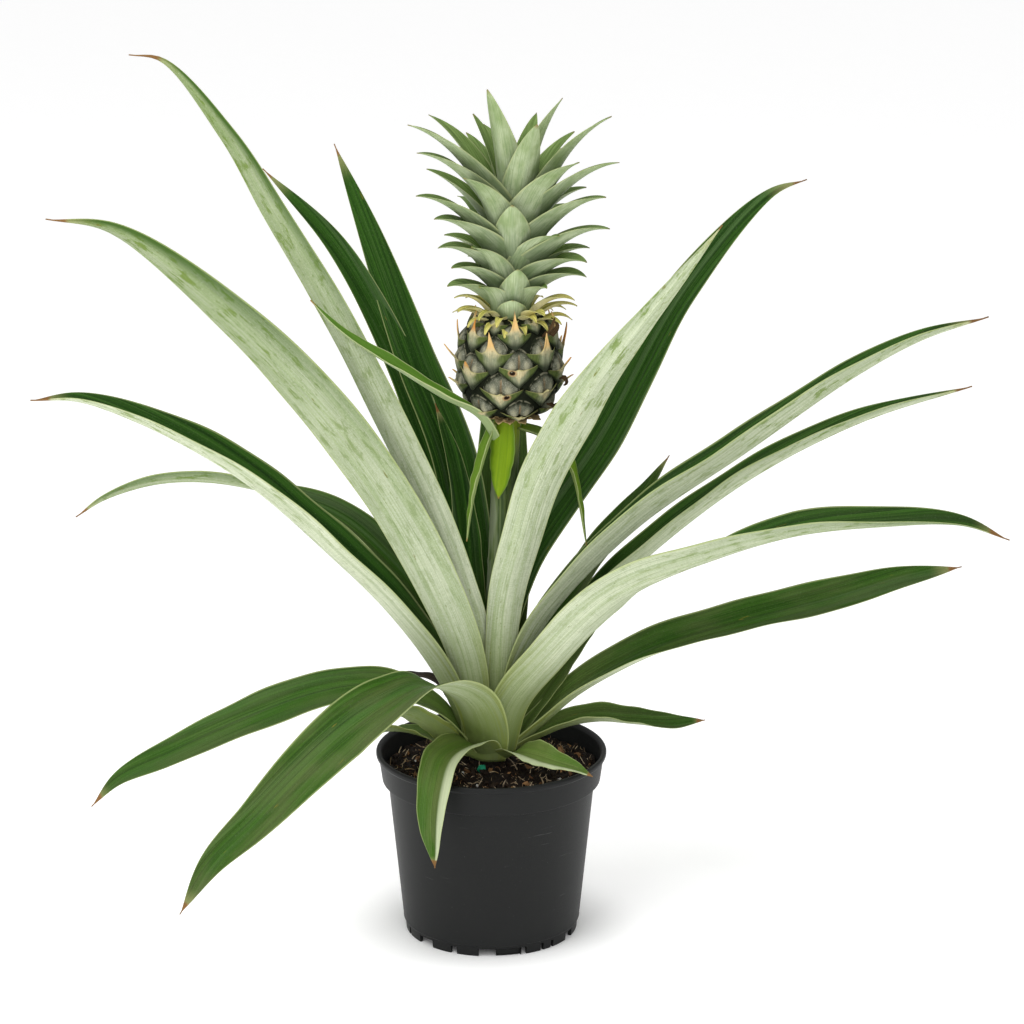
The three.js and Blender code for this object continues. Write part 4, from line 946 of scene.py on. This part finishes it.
# azimuth in degrees from the front, tip height, tip radius, lean at the foot and the tip, width
CROWN_LEAVES = [
    (2, 11, 19, 32, 10, 15.5), (-63, 16.6, 37, 48, 103, 20), (43, 18, 26, 20, 90, 20),
    (69, 23.4, 40.5, 48, 107, 20), (-40, 17.5, 26, 18, 86, 19), (150, 20, 36, 30, 108, 16),
    (-140, 22, 36, 30, 106, 16), (-63, 26, 35, 42, 99, 21), (62, 32.4, 42.6, 42, 103, 24),
    (7, 28, 22, 32, 10, 18), (95, 34.4, 39.5, 44, 99, 18), (-64, 36.9, 42.7, 44, 99, 21),
    (-104, 37.3, 36.7, 42, 95, 18), (175, 38, 40, 26, 102, 18), (-42, 39, 32, 14, 80, 22),
    (65, 50.8, 53.4, 42, 89, 24), (44, 46.5, 33, 14, 82, 24), (140, 50, 46, 24, 98, 18),
    (-140, 52, 46, 24, 96, 18), (-60, 53, 47, 38, 89, 26), (104, 64.8, 37.6, 40, 83, 18),
    (-64, 64.8, 55.8, 38, 85, 24), (64, 67, 51, 36, 81, 26), (-175, 66, 46, 20, 92, 20),
    (-3, 62, 25, 32, 10, 21.5), (-101, 71.6, 46.5, 38, 75, 19), (150, 78, 48, 18, 84, 19),
    (67, 85.1, 56.2, 36, 77, 23), (-40, 76.5, 41, 11, 68, 30), (-138, 87, 39, 14, 64, 18),
    (47, 86, 43, 11, 66, 34), (-160, 88, 50, 16, 76, 20), (-64, 87, 56, 34, 81, 24),
    (120, 92, 34, 14, 60, 20), (-111, 98.1, 48.8, 18, 66, 23), (-122, 100, 27, 8, 40, 18),
    (-65, 101.4, 61, 32, 73, 25), (165, 97, 38, 8, 60, 20), (70, 107.5, 50, 14, 60, 26),
    (16, 105.5, 35, 7, 44, 27), (62, 115, 25, 6, 34, 22), (-40, 119.5, 25, 3, 26, 30)]
LEAVES_PER_TIER = 3
CROWN_SEED, BASAL_SEED = 300, 400


def crown_leaves(table, seed, turn=2.6):
    """Pointed shields. Each midrib leaves the core near upright and leans further out along its
    length, late where turn is large, and its length is what takes it to the tip's radius. Returns
    the front and back grids and what the finish reads."""
    draw = np.random.default_rng(seed)
    columns = [np.array(column, float)[:, None] for column in zip(*table)]
    azimuth, tip_z, tip_r, lean_foot, lean_tip, width = columns
    number = len(table)
    t = np.linspace(0, 1, CROWN_ROWS)
    slope = np.radians(lean_foot + (lean_tip - lean_foot) * t ** turn)
    rate = np.stack([np.sin(slope), np.cos(slope)])
    steps = np.cumsum(rate[..., 1:] + rate[..., :-1], 2) / 2 / (CROWN_ROWS - 1)
    out, up = np.concatenate([0 * rate[..., :1], steps], 2)
    root = 9.5 - 0.065 * tip_z
    length = (tip_r - root) / out[:, -1:]
    length = np.where(up[:, -1:] > 0.5, np.minimum(length, (tip_z + 3.0) / up[:, -1:]), length)
    root = tip_r - length * out[:, -1:]
    r, z = root + length * out, tip_z + length * (up - up[:, -1:])
    across = bunched(CROWN_COLUMNS)
    blunt = np.where(lean_tip < 20, 3.3, 2.6)  # the upright ones in front have round tips
    half = 0.5 * width * (0.8 + 0.2 * np.sin(np.minimum(t / 0.45, 1) * np.pi / 2))
    half = half * (1 - t ** blunt) ** (0.5 + 1.0 / blunt) + 0.2
    around = r[..., None] + WRAP_GAP
    x = around * np.sin(half[..., None] * across / around)
    curl = 0.62 * half[..., None] * (np.hypot(across, 0.35) - 0.35) * (1 - 0.5 * t ** 2)[:, None]
    curl = curl + around - np.sqrt(around ** 2 - x ** 2)
    curl = curl + 0.25 * np.sin(9 * t[:, None] + 5 * draw.random((number, 1, 1))) * across * np.abs(across)
    thick = 1.1 * (1 - 0.75 * across ** 2) * (1 - 0.55 * t)[:, None]
    angle, lean = np.radians(azimuth)[..., None], np.radians(CROWN_LEAN)

    def placed(lift):
        """The grid raised by lift from the leaf's middle surface, turned to its azimuth and leant."""
        in_r, in_z = -np.cos(slope)[..., None] * lift, np.sin(slope)[..., None] * lift
        rr, zz = r[..., None] + in_r, z[..., None] + in_z
        px, py = rr * np.sin(angle) + x * np.cos(angle), -rr * np.cos(angle) + x * np.sin(angle)
        leaning = [px * np.cos(lean) + zz * np.sin(lean), py, zz * np.cos(lean) - px * np.sin(lean)]
        return CROWN_BASE + np.stack(leaning, -1)

    both = lambda values: both_faces(values, x.shape)
    apart = (azimuth + 7 * tip_z)[..., None]
    fibre = np.stack([both(x), both((length * t)[..., None]), both(apart)], -1)
    carried = {"FIBRE": fibre, "across": both(across), "along": both(t[:, None])}
    carried["upper"] = np.tile(np.repeat([1.0, 0.0], CROWN_ROWS * CROWN_COLUMNS), number)
    return placed(curl + thick / 2), placed(curl - thick / 2), carried


def crown_finish(name, pale, grey, inner, base, vein):
    """Waxy skin with fine veins, a paler midline, the colour base towards the foot, and a brown dry tip."""
    finish = Finish(name, shine=0.2)
    fibre, across, along, upper = finish.carried("FIBRE", "across", "along", "upper")
    veins = noise(fibre, (2.6, 0.06, 1), 3.0, 0.6)
    clouds = noise(fibre, (0.22, 0.1, 1), 3.0)
    specks = noise(fibre, (1.4, 0.7, 1))
    scars = noise(fibre, (0.75, 0.085, 1), 1.0)
    below = coated(
        mix(rise(clouds, 0.25, 0.72), grey, pale),
        (rise(veins, 0.47, 0.62) * 0.45, (0.17, 0.26, 0.12)),
        ((1 - rise(abs(across), 0.02, 0.16)) * 0.35, (0.5, 0.58, 0.4)),
        (rise(specks, 0.68, 0.76) * 0.6, (0.16, 0.14, 0.05)),
        (rise(scars, 0.8, 0.84) * 0.75, (0.36, 0.23, 0.06)),
        # towards the foot the skin takes base: painted shade on the crown's leaves, a pale foot on the basal
        # ones
        ((1 - rise(along, 0.25, 0.95)) * 0.75, base),
        (rise(along, 0.45, 1.0) * 0.5, vein))
    skin = coated(
        mix(upper, below, mix(rise(veins, 0.35, 0.65), inner, vein)),
        (rise(abs(across), 0.9, 0.99) * 0.55, (0.46, 0.5, 0.24)),
        (rise(along + 0.04 * clouds, 0.985, 1.03), (0.22, 0.17, 0.05)))
    finish.paint(skin, 0.46 + 0.15 * clouds, veins + 0.5 * specks, 0.0003)
    return finish


# base here is dark green: painted shade at the feet of the crown's leaves, where they crowd
glaucous = crown_finish("crown_leaf_skin", pale=(0.66, 0.73, 0.49), grey=(0.34, 0.43, 0.21),
                        inner=(0.085, 0.145, 0.03), base=(0.09, 0.14, 0.055), vein=(0.2, 0.3, 0.085))
for tier in range(0, len(CROWN_LEAVES), LEAVES_PER_TIER):
    front, back, carried = crown_leaves(CROWN_LEAVES[tier:tier + LEAVES_PER_TIER], CROWN_SEED + tier)
    name = f"crown_leaves_{tier // LEAVES_PER_TIER + 1:02d}"
    make_piece(name + "_blades", *many_sheets(front, back), glaucous, "crown", [name], carried)

# The hidden core that the crown's leaves grow from.
HEART_SIDES = 24
core_finish = Finish("crown_heart", shine=0.2)
fibres = noise(core_finish.place(), (700, 700, 60), 3.0)
core_finish.paint(mix(fibres, (0.04, 0.07, 0.02), (0.13, 0.19, 0.06)), 0.5 + 0.2 * fibres)
up, turn = np.linspace(0, 1, HEART_SIDES)[:, None], circle(HEART_SIDES)
reach, climb = 4.2 - 2.6 * up ** 1.5 + 0 * turn, 0.5 + 84 * up + 0 * turn
sideways = climb * np.sin(np.radians(CROWN_LEAN))
rings = CROWN_BASE + np.stack([reach * np.cos(turn) + sideways, reach * np.sin(turn), climb], -1)
make_piece("crown_heart", *closed_tube(rings), core_finish, "crown", ["crown_core"])

# Short withering leaves round the crown's foot, curled over the top of the fruit.
BASAL_LEAVES = [
    (-78, 8, 30, 30, 116, 8), (-66, 2, 30, 34, 128, 7), (-88, -1, 30, 44, 124, 7),
    (-54, -5, 27, 14, 160, 6), (-43, -1, 24, 8, 168, 7), (-30, -7, 26, 12, 166, 7),
    (-18, -3, 23, 8, 168, 7), (-7, -8, 24, 10, 162, 7), (5, -3, 21, 12, 146, 7), (18, -6, 25, 16, 150, 7),
    (30, 0, 26, 20, 140, 8), (38, 4, 28, 30, 118, 10), (47, -5, 26, 16, 156, 6), (60, -2, 30, 24, 134, 7),
    (72, 10, 34, 36, 112, 10), (82, -2, 32, 36, 130, 7), (92, 4, 34, 40, 116, 9), (108, 0, 30, 36, 130, 7),
    (128, -3, 28, 30, 140, 7), (146, 2, 30, 36, 124, 8), (168, -3, 27, 28, 145, 7),
    (-172, 2, 30, 36, 124, 8), (-150, -2, 28, 32, 136, 7), (-128, 2, 30, 36, 124, 8),
    (-108, -2, 29, 36, 130, 7)]
yellowing = crown_finish("basal_leaf_skin", pale=(0.86, 0.76, 0.32), grey=(0.5, 0.46, 0.1),
                         inner=(0.26, 0.27, 0.04), base=(0.84, 0.78, 0.48), vein=(0.74, 0.64, 0.2))
front, back, carried = crown_leaves(BASAL_LEAVES, BASAL_SEED, turn=2.0)
make_piece("crown_basal_leaves", *many_sheets(front, back), yellowing, "crown", carried=carried)
